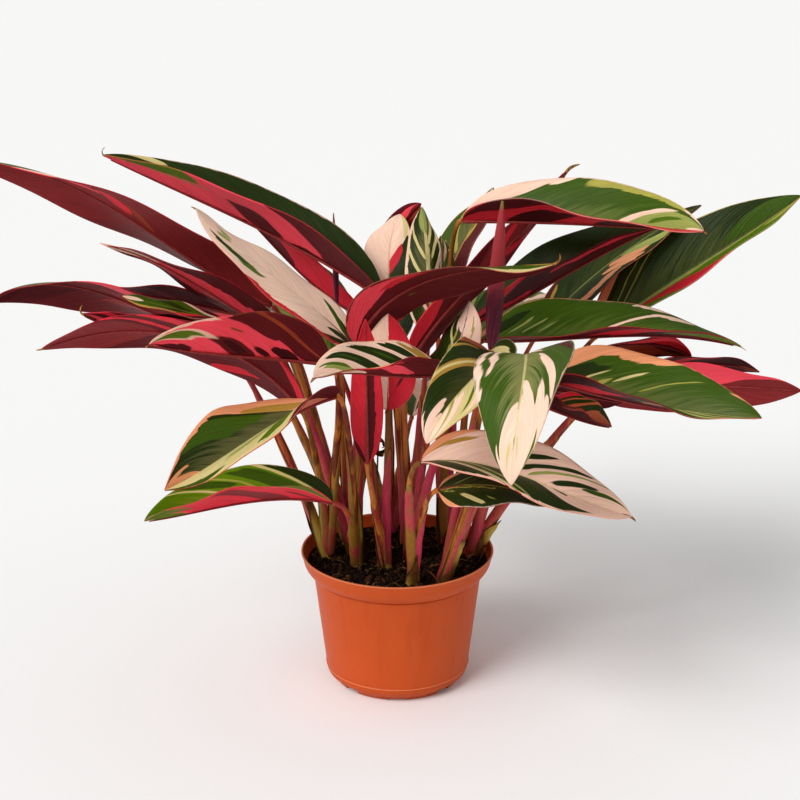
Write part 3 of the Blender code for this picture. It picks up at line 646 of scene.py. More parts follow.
# %% Patches for each blade
MARKS = {
    "leaf_left_arch": ("deep", "cream", "wine", 0, [
        (1, 0.62, 0.7, 0.7, 1.2, "straw"), (-1, -0.5, 1.3, 0, 1.3, "cream"),
        (-1, -0.5, 0.2, 0, 1.3, "green"), (-1, 0.15, 0.34, 0, 0.1, "green"),
        (-1, 0.35, 0.48, 0.03, 0.56, "green"), (-1, 0.48, 0.74, 0.56, 0.62, "straw"),
        (-1, 0.5, 0.76, 0.64, 1.3, "leaf")]),
    "leaf_left_arch_back": ("green", "cream", "lime", 0.2, [
        (-1, -0.5, 1.3, 0, 1.3, "peach"), (-1, 0.48, 0.9, 0.0, 0.6, "green"), (1, 0.2, 0.5, 0.3, 1.3, "lime")]),
    "leaf_left_long": ("maroon", "peach", "rust", 0, [
        (1, 0.1, 0.15, 0.1, 0.8, "rust"), (-1, 0.4, 0.44, 0, 0.5, "rust"),
        (-1, 0.44, 0.5, 0.2, 0.7, "peach"), (-1, 0.5, 0.62, 0.5, 1.3, "cream")]),
    "leaf_left_narrow": ("green", "peach", "cream", 0.1, [
        (0, -0.5, 1.3, 0, 0.36, "cream"), (1, 0.25, 0.8, 0.2, 0.7, "peach"), (0, 0.68, 1.3, 0, 1.3, "milk")]),
    "leaf_left_cream": ("milk", "peach", "cream", 0, [
        (1, -0.5, 0.02, 0, 0.55, "deep"), (1, 0, 0.06, 0.05, 0.7, "green"),
        (-1, -0.5, 0.08, 0, 0.42, "deep"), (-1, -0.5, -0.07, 0.3, 0.95, "deep"),
        (-1, 0.44, 0.68, 0.38, 0.66, "leaf"), (-1, 0.52, 0.74, 0.46, 0.62, "deep"),
        (-1, -0.2, 0.34, 0.86, 1.3, "rose"), (0, 0.76, 0.83, 0, 0.3, "sage"),
        (0, 0.88, 1.3, 0.3, 1.3, "straw")]),
    "leaf_left_dark": ("green", "peach", "wine", 0, [
        (0, 0.18, 0.48, 0, 0.4, "maroon"), (-1, 0.2, 0.36, 0.5, 1.3, "cream"),
        (1, 0.02, 0.1, 0.5, 1.3, "rust"), (0, 0.6, 1.3, 0, 1.3, "wine")]),
    "leaf_left_dark_back": ("green", "peach", "rust", 0.2, [
        (1, 0.05, 0.2, 0.2, 1.3, "peach"), (-1, 0.5, 0.56, 0.1, 1, "sage")]),
    "leaf_left_twisted": ("green", "straw", "lime", 0.0, [
        (0, -0.5, 0.36, 0, 1.3, "wine"), (1, 0.2, 0.36, 0.2, 1.3, "milk"), (-1, 0.34, 0.44, 0, 1.3, "rose"),
        (0, 0.5, 0.62, 0, 0.8, "deep"), (-1, 0.44, 1.2, 0.74, 1.3, "ochre"), (0, 0.84, 1.3, 0, 1.3, "milk")]),
    "leaf_left_wavy": ("green", "cream", "peach", 0.1, [
        (-1, 0.3, 0.36, 0, 1, "peach"), (-1, 0.5, 0.6, 0, 1.3, "peach"), (0, 0.72, 0.84, 0, 1.2, "cream"),
        (0, 0.9, 1.3, 0, 1.2, "dry")]),
    "leaf_left_low": ("green", "peach", "maroon", 0, [
        (-1, -0.3, -0.03, 0.1, 1.3, "peach"), (-1, 0.28, 0.4, 0.4, 1.3, "peach"),
        (1, 0.06, 0.16, 0.5, 0.95, "rose"), (0, 0.56, 1.3, 0, 1.3, "maroon"),
        (-1, 0.48, 0.52, 0, 1.3, "peach"), (0, 0.93, 1.3, 0, 1.2, "dry")]),
    "leaf_left_pink": ("cream", "ochre", "rose", 0, [
        (-1, -0.5, 0.15, 0, 1.3, "green"), (-1, -0.03, 0.02, 0.2, 1.2, "rust"),
        (-1, 0.1, 0.21, 0.4, 0.97, "green"), (-1, 0.15, 0.28, 0, 0.24, "deep"),
        (-1, 0.31, 0.38, 0, 0.2, "deep"), (-1, 0.4, 0.56, 0, 0.46, "green"),
        (-1, 0.43, 0.52, 0.08, 0.36, "deep"), (-1, 0.74, 0.95, 0, 0.22, "wine"),
        (-1, 0.48, 0.74, 0.4, 1.3, "milk"), (-1, 0.52, 0.7, 0.46, 0.92, "leaf"),
        (-1, 0.22, 0.46, 0.93, 1.3, "milk"), (-1, 0.29, 0.335, 0.5, 0.66, "ochre"),
        (1, 0.1, 0.5, 0.2, 0.8, "green")]),
    "leaf_left_peach": ("deep", "peach", "straw", 0.25, [
        (1, -0.5, 0.2, 0, 1.3, "peach"), (1, 0.04, 0.2, 0.12, 0.7, "ochre"),
        (1, 0.24, 0.5, 0.3, 0.9, "green"), (1, 0.8, 1.3, 0, 0.5, "peach"),
        (1, 0.68, 1.3, 0.4, 1.3, "peach"), (1, -0.2, 1.3, 0.92, 1.3, "peach"),
        (-1, -0.5, 1.3, 0, 1.3, "straw"), (-1, 0.1, 0.3, 0.35, 0.8, "leaf"),
        (-1, 0.25, 0.6, 0.15, 0.4, "sage"), (-1, 0.44, 0.75, 0.7, 1.3, "green"),
        (-1, -0.5, 0.04, 0, 1.3, "wine")]),
    "leaf_left_lowest": ("fresh", "straw", "peach", 0.15, [
        (1, -0.5, -0.04, 0.3, 1.2, "deep"), (1, -0.03, 0.015, 0.3, 1.3, "straw"),
        (1, 0.04, 0.2, 0.2, 0.9, "green"), (1, 0.26, 0.285, 0.3, 1, "lime"),
        (1, 0.3, 0.42, 0.5, 0.9, "green"), (1, 0.44, 0.47, 0.3, 1, "straw"),
        (1, 0.8, 1.3, 0, 1.3, "milk"), (-1, -0.5, 1.3, 0, 1.3, "peach"),
        (-1, -0.3, -0.06, 0.3, 1.3, "cream"), (-1, -0.26, -0.09, 0.4, 1.3, "leaf"),
        (-1, 0.2, 0.36, 0, 0.92, "maroon"), (-1, 0.04, 0.1, 0.1, 0.5, "maroon"),
        (-1, 0.72, 0.8, 0, 1.3, "cream"), (-1, 0.74, 1.3, 0, 0.4, "leaf"),
        (-1, 0.62, 1.3, 0.35, 0.75, "leaf"), (-1, 0.52, 1.3, 0.7, 1.3, "leaf"),
        (0, 0.92, 1.3, 0, 1.3, "milk")]),
    "leaf_back_maroon": ("green", "cream", "peach", 0.1, [
        (1, 0.6, 0.84, 0, 0.55, "cream"), (-1, 0.7, 0.8, 0.3, 1.1, "lime")]),
    "leaf_back_cream": ("milk", "peach", "peach", 0.0, [
        (1, -0.5, 0.4, 0, 0.8, "deep"), (1, 0.28, 0.44, 0, 0.5, "rose"), (1, 0.4, 1.3, 0.6, 1.3, "straw")]),
    "leaf_middle_striped": ("deep", "straw", "straw", 0.3, [
        (1, -0.5, 1.3, 0, 0.2, "straw"), (1, 0.3, 0.38, 0.25, 1.3, "cream"), (1, 0.48, 0.54, 0.3, 1.3, "straw"),
        (1, 0.62, 0.7, 0.2, 1.0, "straw"), (-1, 0.16, 0.21, 0, 1.3, "cream"), (-1, 0.36, 0.41, 0, 1.3, "straw"),
        (-1, 0.55, 0.6, 0, 0.9, "straw"), (0, 0.76, 1.3, 0, 0.5, "sage"), (0, -0.5, 1.3, 0.86, 1.3, "cream")]),
    "leaf_middle_small": ("green", "cream", "straw", 0.3, [
        (1, 0.55, 0.62, 0.1, 0.8, "cream"), (1, 0.7, 0.78, 0, 0.7, "cream"), (-1, 0.5, 0.56, 0.1, 0.9, "straw"),
        (0, 0.9, 1.3, 0, 1.2, "straw")]),
    "leaf_middle_behind": ("green", "peach", "peach", 0.2, [
        (-1, 0.15, 0.3, 0.1, 0.7, "lime"), (-1, 0.44, 0.5, 0.1, 0.9, "lime"), (1, -0.5, 1.3, 0, 1.3, "wine"),
        (1, 0.56, 0.66, 0, 0.35, "lime"), (0, 0.86, 1.3, 0, 1.2, "straw")]),
    "leaf_middle_arch": ("green", "straw", "wine", 0, [
        (1, -0.5, 0.16, 0.3, 0.95, "cream"), (1, 0.1, 0.26, 0.5, 0.85, "peach"),
        (-1, -0.5, -0.1, 0.2, 1.3, "peach"), (-1, 0.24, 0.3, 0.3, 0.36, "leaf"),
        (1, 0.42, 0.9, 0.75, 1.3, "straw"), (0, 0.84, 1.3, 0, 1.2, "ochre")]),
    "leaf_middle_tall": ("green", "peach", "wine", 0, [
        (1, -0.5, 0.18, 0.28, 1.3, "peach"), (0, 0.4, 1.3, 0, 1.3, "maroon"),
        (0, 0.5, 0.58, 0, 1.3, "peach"), (0, 0.9, 1.3, 0, 1.3, "dry")]),
    "leaf_middle_cream": ("deep", "peach", "cream", 0.1, [
        (1, -0.5, 1.3, 0.06, 1.3, "milk"), (1, 0.35, 0.6, 0.5, 0.6, "lime"),
        (-1, 0.1, 0.6, 0.26, 0.36, "lime"), (-1, 0.4, 0.45, 0.1, 0.9, "straw"),
        (-1, 0.64, 1.3, 0, 0.35, "milk"), (-1, 0.56, 1.3, 0.3, 1.3, "milk"),
        (-1, -0.3, 0.5, 0.85, 1.3, "wine")]),
    "leaf_front_left": ("milk", "peach", "cream", 0, [
        (1, -0.35, -0.12, 0.2, 0.95, "ochre"), (1, -0.1, 0.03, 0.55, 0.92, "deep"),
        (1, 0.09, 0.28, 0.26, 0.88, "deep"), (1, 0.16, 0.2, 0.4, 0.7, "green"),
        (1, 0.38, 0.52, 0.14, 0.8, "deep"), (1, 0.44, 0.47, 0.3, 0.7, "green"),
        (1, 0.62, 0.74, 0.05, 0.5, "sage"), (1, 0.6, 0.66, 0.2, 0.7, "leaf"),
        (-1, -0.5, 0.6, 0, 1.3, "green"), (-1, 0.18, 0.38, 0.1, 0.56, "cream"),
        (-1, 0.08, 0.3, 0.66, 1.3, "peach"), (-1, 0.56, 1.3, 0, 1.3, "milk"),
        (-1, 0.62, 0.7, 0.2, 1, "leaf")]),
    "leaf_front_cream": ("milk", "peach", "milk", 0.0, [
        (1, -0.5, 1.3, 0, 1.3, "rose"), (1, 0.1, 0.16, 0.3, 1.1, "wine")]),
    "leaf_front_red": ("cream", "peach", "peach", 0.0, [
        (0, -0.5, 1.3, 0, 1.3, "rose"), (-1, -0.5, 0.7, 0.05, 0.52, "wine"), (1, -0.5, 0.0, 0.4, 1.1, "wine")]),
    "leaf_front_hanging": ("green", "milk", "straw", 0.5, [
        (1, -0.5, 0.2, 0.56, 0.7, "milk"), (1, -0.5, 0.24, 0.84, 0.98, "milk"),
        (1, 0.62, 1.3, 0, 1.3, "milk"), (1, 0.54, 1.3, 0.72, 1.3, "milk"),
        (1, 0.76, 0.82, 0.1, 0.4, "straw"), (-1, -0.5, -0.02, 0, 0.6, "straw"),
        (-1, 0.13, 0.19, 0.06, 0.34, "milk"), (-1, 0.22, 0.3, 0.26, 0.9, "milk"),
        (-1, 0.5, 1.3, 0, 1.3, "milk"), (-1, 0.36, 1.3, 0.5, 1.3, "milk"),
        (-1, 0.3, 1.3, 0.78, 1.3, "milk"), (-1, -0.5, 0, 0.55, 0.95, "wine"),
        (-1, 0.76, 0.82, 0.1, 0.3, "straw"), (-1, 0.42, 0.5, 0.86, 1.3, "leaf")]),
    "leaf_front_folded": ("deep", "straw", "straw", 0.1, [
        (1, -0.5, -0.04, 0.35, 1.3, "rust"), (1, 0, 0.04, 0.5, 1.3, "ochre"),
        (1, 0.24, 0.36, 0.12, 1.3, "ochre"), (1, 0.27, 0.31, 0.1, 1.1, "straw"),
        (1, 0.5, 1.3, 0.84, 1.3, "milk"), (1, 0.66, 1.3, 0.2, 1.3, "milk"), (1, 0.8, 1.3, 0, 1.3, "milk"),
        (-1, 0.16, 1.3, 0, 1.3, "straw"), (-1, 0.3, 0.42, 0.1, 0.9, "milk"),
        (-1, 0.46, 0.5, 0, 0.8, "leaf"), (-1, 0.6, 1.3, 0.1, 1.3, "milk"),
        (-1, -0.1, 0.1, 0.3, 0.8, "straw"), (-1, 0.7, 0.74, 0, 0.9, "lime")]),
    "leaf_right_high": ("green", "milk", "sage", 0.5, [
        (-1, -0.5, 0.02, 0.6, 1.3, "milk"), (-1, -0.5, 0.08, 0.86, 1.3, "milk"),
        (-1, 0.62, 1.3, 0, 0.72, "sage"), (-1, 0.59, 0.64, 0.02, 0.75, "milk"),
        (-1, 0.9, 1.3, 0, 0.6, "milk"), (-1, 0.7, 0.76, 0.1, 0.5, "leaf"),
        (-1, 0.15, 0.6, 0.84, 1.3, "lime"), (-1, 0.56, 1.3, 0.9, 1.3, "milk"),
        (1, -0.5, 1.3, 0, 1.3, "rose"), (1, 0.16, 0.36, 0, 0.55, "deep"), (1, 0.5, 0.8, 0, 0.45, "deep"),
        (1, -0.2, 0.1, 0.5, 1.3, "wine")]),
    "leaf_right_far": ("deep", "straw", "sage", 0.25, [
        (1, -0.5, 1.3, 0, 1.3, "leaf"), (1, -0.5, 1.3, 0.05, 0.36, "lime"),
        (1, 0.02, 0.26, 0.4, 1.3, "rose"), (1, 0.6, 1.3, 0.5, 1.3, "lime"),
        (-1, -0.5, -0.1, 0.55, 1.3, "peach"), (-1, 0.02, 0.03, 0, 0.9, "lime"),
        (-1, 0.09, 0.098, 0, 0.9, "lime"), (-1, 0.6, 0.95, 0.1, 0.9, "green"),
        (-1, 0.8, 1.3, 0.7, 1.3, "lime")]),
    "leaf_right_shaded": ("deep", "peach", "sage", 0.15, [
        (1, -0.5, 0.3, 0.62, 0.84, "peach"), (1, 0.3, 0.42, 0.35, 0.9, "peach"),
        (1, 0.42, 0.5, 0.1, 0.75, "peach"), (1, 0.5, 0.64, 0.08, 0.9, "sage"),
        (1, 0.02, 0.06, 0, 0.6, "ochre"), (-1, -0.04, 0.02, 0.1, 0.8, "ochre"),
        (-1, -0.5, 0.9, 0.84, 1.3, "wine")]),
    "leaf_right_upper": ("deep", "wine", "rose", 0.15, [
        (1, -0.05, 0.3, 0.05, 0.2, "rose"), (1, 0.24, 1.3, 0.55, 0.8, "rose"), (1, -0.5, 0.0, 0.5, 1.3, "rose")]),
    "leaf_right_middle": ("green", "peach", "sage", 0.3, [
        # The three narrow sage streaks near the heel on half -1 are painted sheen.
        (-1, -0.5, -0.02, 0, 0.8, "deep"), (-1, 0.02, 0.045, 0.2, 0.6, "sage"),
        (-1, 0.1, 0.12, 0.15, 0.55, "sage"), (-1, 0.17, 0.185, 0.15, 0.5, "sage"),
        (-1, 0.44, 0.466, 0.1, 0.9, "milk"), (-1, 0.45, 0.54, 0.72, 0.96, "milk"),
        (-1, 0.28, 0.42, 0.9, 1.3, "milk"), (1, -0.5, 1.3, 0, 1.3, "green"),
        (1, 0.36, 0.54, 0.1, 0.75, "rose"), (1, 0.56, 0.7, 0, 0.5, "deep"),
        (1, 0.6, 1.3, 0.3, 1.3, "leaf")]),
    "leaf_right_front": ("green", "peach", "straw", 0.2, [
        (-1, -0.5, -0.1, 0, 1.3, "peach"), (-1, -0.5, 0.16, 0.8, 1.3, "peach"),
        (-1, -0.1, 0.08, 0, 0.6, "deep"), (-1, 0.08, 0.1, 0.1, 0.55, "straw"),
        (-1, 0.16, 0.2, 0.14, 0.36, "lime"), (-1, 0.2, 0.225, 0.3, 0.7, "straw"),
        (-1, 0.36, 0.375, 0.1, 0.8, "lime"), (-1, 0.4, 1.3, 0.93, 1.3, "peach"),
        (1, -0.5, 1.3, 0, 1.3, "deep"), (1, 0.04, 0.26, 0.02, 0.4, "rose"),
        (1, 0.3, 1.3, 0.3, 1.3, "leaf"), (1, 0.36, 0.42, 0.2, 1.3, "straw"),
        (1, 0.5, 0.56, 0.2, 1.3, "straw")]),
    "leaf_right_rose": ("maroon", "peach", "maroon", 0, [
        (1, -0.5, 0.6, 0, 1.3, "cream"), (-1, 0.2, 0.3, 0.2, 1, "peach")]),
    "leaf_right_tucked": ("wine", "cream", "peach", 0.1, [
        (1, 0.4, 0.9, 0.2, 1.3, "rose"), (1, 0.5, 0.62, 0.1, 1.3, "cream"), (-1, 0.3, 0.7, 0, 0.8, "rust"),
        (-1, -0.3, 0.4, 0.75, 1.3, "milk")]),
    "leaf_right_back": ("deep", "peach", "peach", 0.1, [
        (1, -0.3, 0.12, 0.3, 1.3, "cream"), (1, 0.26, 0.4, 0.2, 1.3, "peach"), (-1, 0.5, 0.6, 0.2, 1, "rust"),
        (0, 0.84, 1.3, 0, 1.2, "ochre")]),
    "leaf_right_red": ("deep", "wine", "wine", 0.0, [
        (-1, 0.0, 1.3, 0, 1.3, "wine"), (1, 0.3, 0.5, 0.1, 1.3, "wine"), (0, -0.3, 0.1, 0, 1.3, "peach")]),
    "leaf_right_small": ("deep", "peach", "rust", 0.1, [
        (-1, -0.4, -0.02, 0.1, 1.3, "rose"), (-1, 0.05, 0.1, 0.1, 1.3, "rust"), (-1, 0.22, 0.3, 0, 1.3, "rust"),
        (-1, 0.46, 0.9, 0.1, 0.7, "rust"), (1, 0.1, 0.22, 0.5, 1.3, "rust"), (1, 0.6, 1.3, 0.6, 1.3, "milk")]),
    "leaf_right_low": ("milk", "peach", "straw", 0, [
        (1, -0.5, 0.54, 0, 0.92, "deep"), (1, 0.03, 0.12, 0.1, 1.3, "sage"),
        (1, 0.05, 0.08, 0.3, 1.3, "milk"), (1, 0.17, 0.22, 0, 0.9, "sage"),
        (1, 0.6, 0.68, 0.02, 0.14, "deep"), (-1, 0.26, 0.32, 0.3, 0.8, "deep"),
        (-1, 0.38, 0.43, 0.05, 0.9, "deep"), (-1, 0.46, 0.49, 0.05, 1, "sage"),
        (-1, 0.56, 0.63, 0.08, 0.6, "deep"), (-1, 0.63, 0.7, 0.3, 0.8, "green"),
        (-1, -0.3, -0.02, 0.55, 0.75, "ochre"), (-1, -0.5, -0.14, 0.2, 1.3, "peach"),
        (-1, -0.02, 0.06, 0.8, 1.3, "leaf"), (0, 0.94, 1.3, 0, 1.2, "dry")]),
    "leaf_right_low_dark": ("deep", "milk", "lime", 0.15, [
        (1, 0.04, 0.13, 0.42, 0.85, "straw"), (1, -0.5, 0.5, 0.07, 0.13, "lime"),
        (1, -0.06, 0.1, 0.22, 0.27, "lime"), (1, 0.24, 0.28, 0.5, 0.7, "sage"),
        (-1, 0.1, 0.13, 0.1, 0.5, "sage"), (0, -0.5, -0.2, 0.3, 1.3, "peach")]),
    "leaf_rear_left": ("green", "milk", "sage", 0.7, [
        (1, -0.3, 0.3, 0.55, 1.3, "milk"), (1, 0.3, 0.5, 0.2, 1.3, "milk"), (-1, 0.1, 0.16, 0, 1.1, "straw"),
        (-1, 0.4, 0.6, 0.3, 1.3, "peach"), (-1, 0.7, 0.74, 0, 1, "milk")]),
    "leaf_rear_middle": ("deep", "cream", "straw", 0.6, [
        (-1, -0.5, 1.3, 0.6, 1.3, "milk"), (-1, 0.2, 0.34, 0.1, 1, "milk"), (1, 0.3, 0.36, 0, 1.1, "straw"),
        (1, 0.55, 0.7, 0.3, 1.3, "milk"), (1, 0.1, 0.14, 0.2, 1, "sage")]),
    "leaf_rear_right": ("green", "peach", "sage", 0.7, [
        (1, -0.1, 0.2, 0.3, 1.3, "peach"), (1, 0.42, 0.48, 0, 1.1, "milk"), (-1, 0.45, 1.3, 0, 1.3, "milk"),
        (-1, 0.6, 0.66, 0.1, 1, "leaf"), (-1, 0.1, 0.14, 0, 1, "sage")]),
    "leaf_rear_low": ("milk", "peach", "cream", 0.0, [
        (1, 0.0, 0.3, 0.1, 0.8, "green"), (1, 0.42, 0.6, 0.1, 0.7, "deep"), (-1, -0.3, 0.2, 0, 0.6, "green"),
        (-1, 0.3, 0.5, 0.3, 1.0, "leaf"), (-1, 0.62, 0.72, 0, 0.8, "deep")]),
}

# %% Leaf materials
def place_group(tree, group, values):
    node = tree.nodes.new("ShaderNodeGroup")
    node.node_tree = group
    for label, value in values.items():
        feed(tree, node.inputs[label], value)
    return node.outputs


def leaf_material(name, slope, seed, face):
    """One face of one leaf: face 0 is the upper side and face 1 the underside."""
    first_tone, rim_tone, rib_tone, feather_share, patches = MARKS[name]
    label = name.replace("leaf_", "").replace("_", " ") + (" upper side", " underside")[face]
    material, shader = new_material(label, TONES[first_tone][face], (0.4, 0.48)[face], (0.12, 0.07)[face])
    tree = material.node_tree
    where = place_group(tree, measures, {"Slope": slope, "Seed": seed})
    same = {label: where[label] for label in ("Half", "Vein", "Out", "Along")}
    grain = place_group(tree, grain_group, {**same, "Seed": seed})
    feathers = math_node(tree, "MULTIPLY", grain["Feather"], feather_share * (0.5, 0.3)[face])
    skin = mix_colour(tree, feathers, TONES[first_tone][face], TONES[rib_tone][face])
    for half, start, end, inner, outer, tone in patches:
        spot = place_group(
            tree, patch_group,
            {"Half": where["Half"], "Vein": where["Ragged Vein"], "Out": where["Ragged Out"], "Fray": grain["Fray"],
             "On Half": float(half), "From": float(start), "To": float(end), "Inner": float(inner),
             "Outer": float(outer)},
        )
        skin = mix_colour(tree, spot["Mask"], skin, TONES[tone][face])
    rim_share = math_node(tree, "MULTIPLY", grain["Rim"], (0.8, 0.3)[face])
    skin = mix_colour(tree, rim_share, skin, TONES[rim_tone][face])
    rib_share = math_node(tree, "MULTIPLY", grain["Rib"], (0.7, 0.35)[face])
    skin = mix_colour(tree, rib_share, skin, TONES[rib_tone][face])
    # Darker and lighter lanes: the fine grain is the leaf's own vein texture, and the bands term is painted sheen along
    # the pleats.
    shade = math_node(tree, "MULTIPLY_ADD", grain["Grain"], 0.4, math_node(tree, "MULTIPLY_ADD", grain["Bands"], 0.5, 0.56))
    skin = mix_colour(tree, 1.0, skin, combine(tree, shade, shade, shade), "MULTIPLY")
    tree.links.new(skin, shader.inputs["Base Color"])
    gloss = math_node(tree, "MULTIPLY_ADD", grain["Bands"], 0.3, (0.24, 0.34)[face])
    tree.links.new(gloss, shader.inputs["Roughness"])
    tree.links.new(bump(tree, grain["Relief"], 0.6, 0.5 * MM), shader.inputs["Normal"])
    shader.inputs["Subsurface Weight"].default_value = 0.3
    shader.inputs["Subsurface Radius"].default_value = (1.0, 0.35, 0.2)
    shader.inputs["Subsurface Scale"].default_value = 0.9 * MM
    return material

# %% [markdown]
# ## Making the blades
#
# A blade is a sheet with more points along than across, laid on its rib, then given a skin so that the
# upper side and the underside are two faces of one closed piece with a material each. The midrib stands
# out below as a slim rolled sheet that runs on into the stalk.

# %% Blades
BLADE_COLUMNS = 24
BLADE_ROWS = 84
BLADE_THICKNESS = 0.7 * MM
MIDRIB_HEEL_RADIUS = 1.5 * MM
MIDRIB_TIP_RADIUS = 0.35 * MM
MIDRIB_DEPTH = 0.7 * MM


# Dry tips: length and width in millimetres, and how far they curl up, in degrees
TIPS = {
    "leaf_left_arch": (9, 2.2, 130),
    "leaf_left_wavy": (9, 3.0, 120),
    "leaf_left_low": (7, 2.4, 25),
    "leaf_left_cream": (6, 2.4, -40),
    "leaf_left_pink": (6, 2.4, -60),
    "leaf_middle_arch": (10, 7.0, 105),
    "leaf_middle_tall": (14, 5.0, -60),
    "leaf_right_low": (7, 2.6, -70),
    "leaf_right_middle": (7, 2.0, -30),
    "leaf_right_high": (5, 2.4, -50),
    "leaf_front_left": (6, 2.6, -80),
}
TIP_OVERLAP = 2.5 * MM
TIP_CUP = 0.35


def curled_tip(blade, length, width, curl):
    """A small dried end: a narrow sheet that starts inside the blade and curls over its length."""
    along, side, up = (vector[0] for vector in blade.directions(np.array([1.0])))
    roll = math.radians(blade.roll[1])
    level = math.cos(roll) * side + math.sin(roll) * up
    crest = math.cos(roll) * up - math.sin(roll) * side
    start = blade.rib[-1] - along * TIP_OVERLAP
    bend = math.radians(curl)

    def place(u, v):
        ahead = length * MM * np.sin(bend * v) / bend
        aloft = length * MM * (1 - np.cos(bend * v)) / bend
        half = width * MM * 0.5 * (1 - v ** 2 * 0.8)
        cup = TIP_CUP * half * (u * u - 1)
        inward = np.sin(bend * v)[:, None] * -along + np.cos(bend * v)[:, None] * crest
        return start + ahead[:, None] * along + aloft[:, None] * crest + (half * u)[:, None] * level + cup[:, None] * inward

    tip = sheet("dry_tip", 6, 16, place)
    tip.data.materials.append(dry_tip_material)
    thicken(tip, 0.35 * MM)
    return tip


def make_blade(name, blade, seed):
    materials = [leaf_material(name, blade.vein_slope(), seed, face) for face in (0, 1)]
    piece = sheet(name.replace("leaf", "blade"), BLADE_COLUMNS, BLADE_ROWS, blade.surface)
    for material in materials:
        piece.data.materials.append(material)
    thicken(piece, BLADE_THICKNESS, 1)
    steps = np.linspace(0.004, 0.97, 40)
    _, side, up = blade.directions(steps)
    roll = np.radians(blade.roll[0] + (blade.roll[1] - blade.roll[0]) * steps)[:, None]
    crest = np.cos(roll) * up - np.sin(roll) * side
    line = along_path(blade.rib, steps) - crest * MIDRIB_DEPTH
    radii = MIDRIB_HEEL_RADIUS + (MIDRIB_TIP_RADIUS - MIDRIB_HEEL_RADIUS) * steps ** 0.8
    midrib = rolled_sheet("midrib", line, radii, 8, 44)
    midrib.data.materials.append(midrib_material)
    parts = [piece, midrib]
    if name in TIPS:
        parts.append(curled_tip(blade, *TIPS[name]))
    blade_piece = join_all(piece.name, parts)
    dress(blade_piece, "leaf upper side", name)
    return blade_piece


midrib_material, midrib_shader = new_material("midrib below", colour(140, 44, 44), 0.5, 0.15)
midrib_tree = midrib_material.node_tree
midrib_noise = noise(midrib_tree, object_place(midrib_tree), 260.0, 3.0)
midrib_colour = mix_colour(midrib_tree, midrib_noise, colour(104, 26, 30), colour(168, 62, 56))
midrib_tree.links.new(midrib_colour, midrib_shader.inputs["Base Color"])
midrib_tree.links.new(bump(midrib_tree, midrib_noise, 0.4, 0.2 * MM), midrib_shader.inputs["Normal"])

dry_tip_material, dry_tip_shader = new_material("dry tip", colour(150, 104, 44), 0.6, 0.15)
dry_tip_tree = dry_tip_material.node_tree
dry_tip_noise = noise(dry_tip_tree, object_place(dry_tip_tree), 420.0, 3.0)
dry_tip_patches = ramp_up(dry_tip_tree, dry_tip_noise, 0.35, 0.65)
dry_tip_colour = mix_colour(dry_tip_tree, dry_tip_patches, colour(100, 48, 24), colour(196, 140, 64))
dry_tip_tree.links.new(dry_tip_colour, dry_tip_shader.inputs["Base Color"])
dry_tip_tree.links.new(bump(dry_tip_tree, dry_tip_noise, 0.6, 0.3 * MM), dry_tip_shader.inputs["Normal"])

for number, (name, blade) in enumerate(blades.items()):
    make_blade(name, blade, number * 11.3)
print("blades made:", len(blades))

# %% [markdown]
# ## Stalks, knees and sheaths
#
# Every leaf stands on its own stalk, which is round and juicy, wine pink low down and olive brown above,
# with a swollen knee just under the blade. At soil level the stalks of a shoot are wrapped together by
# sheaths, the lower ends of the oldest leaves, which dry to brown tips.


# %% Stalk materials
STALK_TONES = {
    "pink stalk": (colour(206, 62, 92), colour(176, 66, 58), colour(150, 44, 42), colour(178, 86, 46)),
    "olive stalk": (colour(190, 56, 80), colour(150, 116, 34), colour(122, 74, 24), colour(182, 110, 42)),
    "amber stalk": (colour(172, 58, 50), colour(206, 120, 50), colour(122, 46, 24), colour(196, 114, 46)),
}
PINK_BELOW = 150 * MM
PINK_ABOVE = 230 * MM


def stalk_material(name):
    """Pink or wine low down, olive or amber above, with long fine streaks."""
    low_dark, low_pale, high_dark, high_pale = STALK_TONES[name]
    material, shader = new_material(name, high_dark, 0.4, 0.16)
    tree = material.node_tree
    streaks = noise(tree, object_place(tree, (1, 1, 0.05)), 460.0, 3.0, 0.6)
    blotch = noise(tree, object_place(tree, (1, 1, 0.09)), 120.0, 2.0)
    height = tree.nodes.new("ShaderNodeSeparateXYZ")
    tree.links.new(object_place(tree), height.inputs[0])
    patchy = ramp_up(tree, blotch, 0.44, 0.58)
    upper = mix_colour(tree, patchy, high_dark, high_pale)
    lower = mix_colour(tree, patchy, low_dark, low_pale)
    wander = math_node(tree, "MULTIPLY_ADD", blotch, 0.08, height.outputs[2])
    skin = mix_colour(tree, ramp_up(tree, wander, PINK_ABOVE, PINK_BELOW), upper, lower)
    shade = math_node(tree, "MULTIPLY_ADD", streaks, 0.9, 0.52)
    skin = mix_colour(tree, 1.0, skin, combine(tree, shade, shade, shade), "MULTIPLY")
    tree.links.new(skin, shader.inputs["Base Color"])
    tree.links.new(math_node(tree, "MULTIPLY_ADD", streaks, 0.25, 0.25), shader.inputs["Roughness"])
    tree.links.new(bump(tree, streaks, 0.5, 0.25 * MM), shader.inputs["Normal"])
    shader.inputs["Subsurface Weight"].default_value = 0.15
    shader.inputs["Subsurface Radius"].default_value = (0.8, 0.3, 0.2)
    shader.inputs["Subsurface Scale"].default_value = 1.5 * MM
    return material


stalk_skins = {name: stalk_material(name) for name in STALK_TONES}
print("stalk finishes:", list(stalk_skins))

# %% Sheath materials
SHEATH_TONES = {
    "fresh": (colour(196, 58, 84), colour(186, 84, 66), colour(150, 104, 40)),
    "greenish": (colour(150, 104, 38), colour(190, 62, 74), colour(136, 128, 40)),
    "dry": (colour(104, 60, 26), colour(186, 152, 60), colour(70, 40, 20)),
}


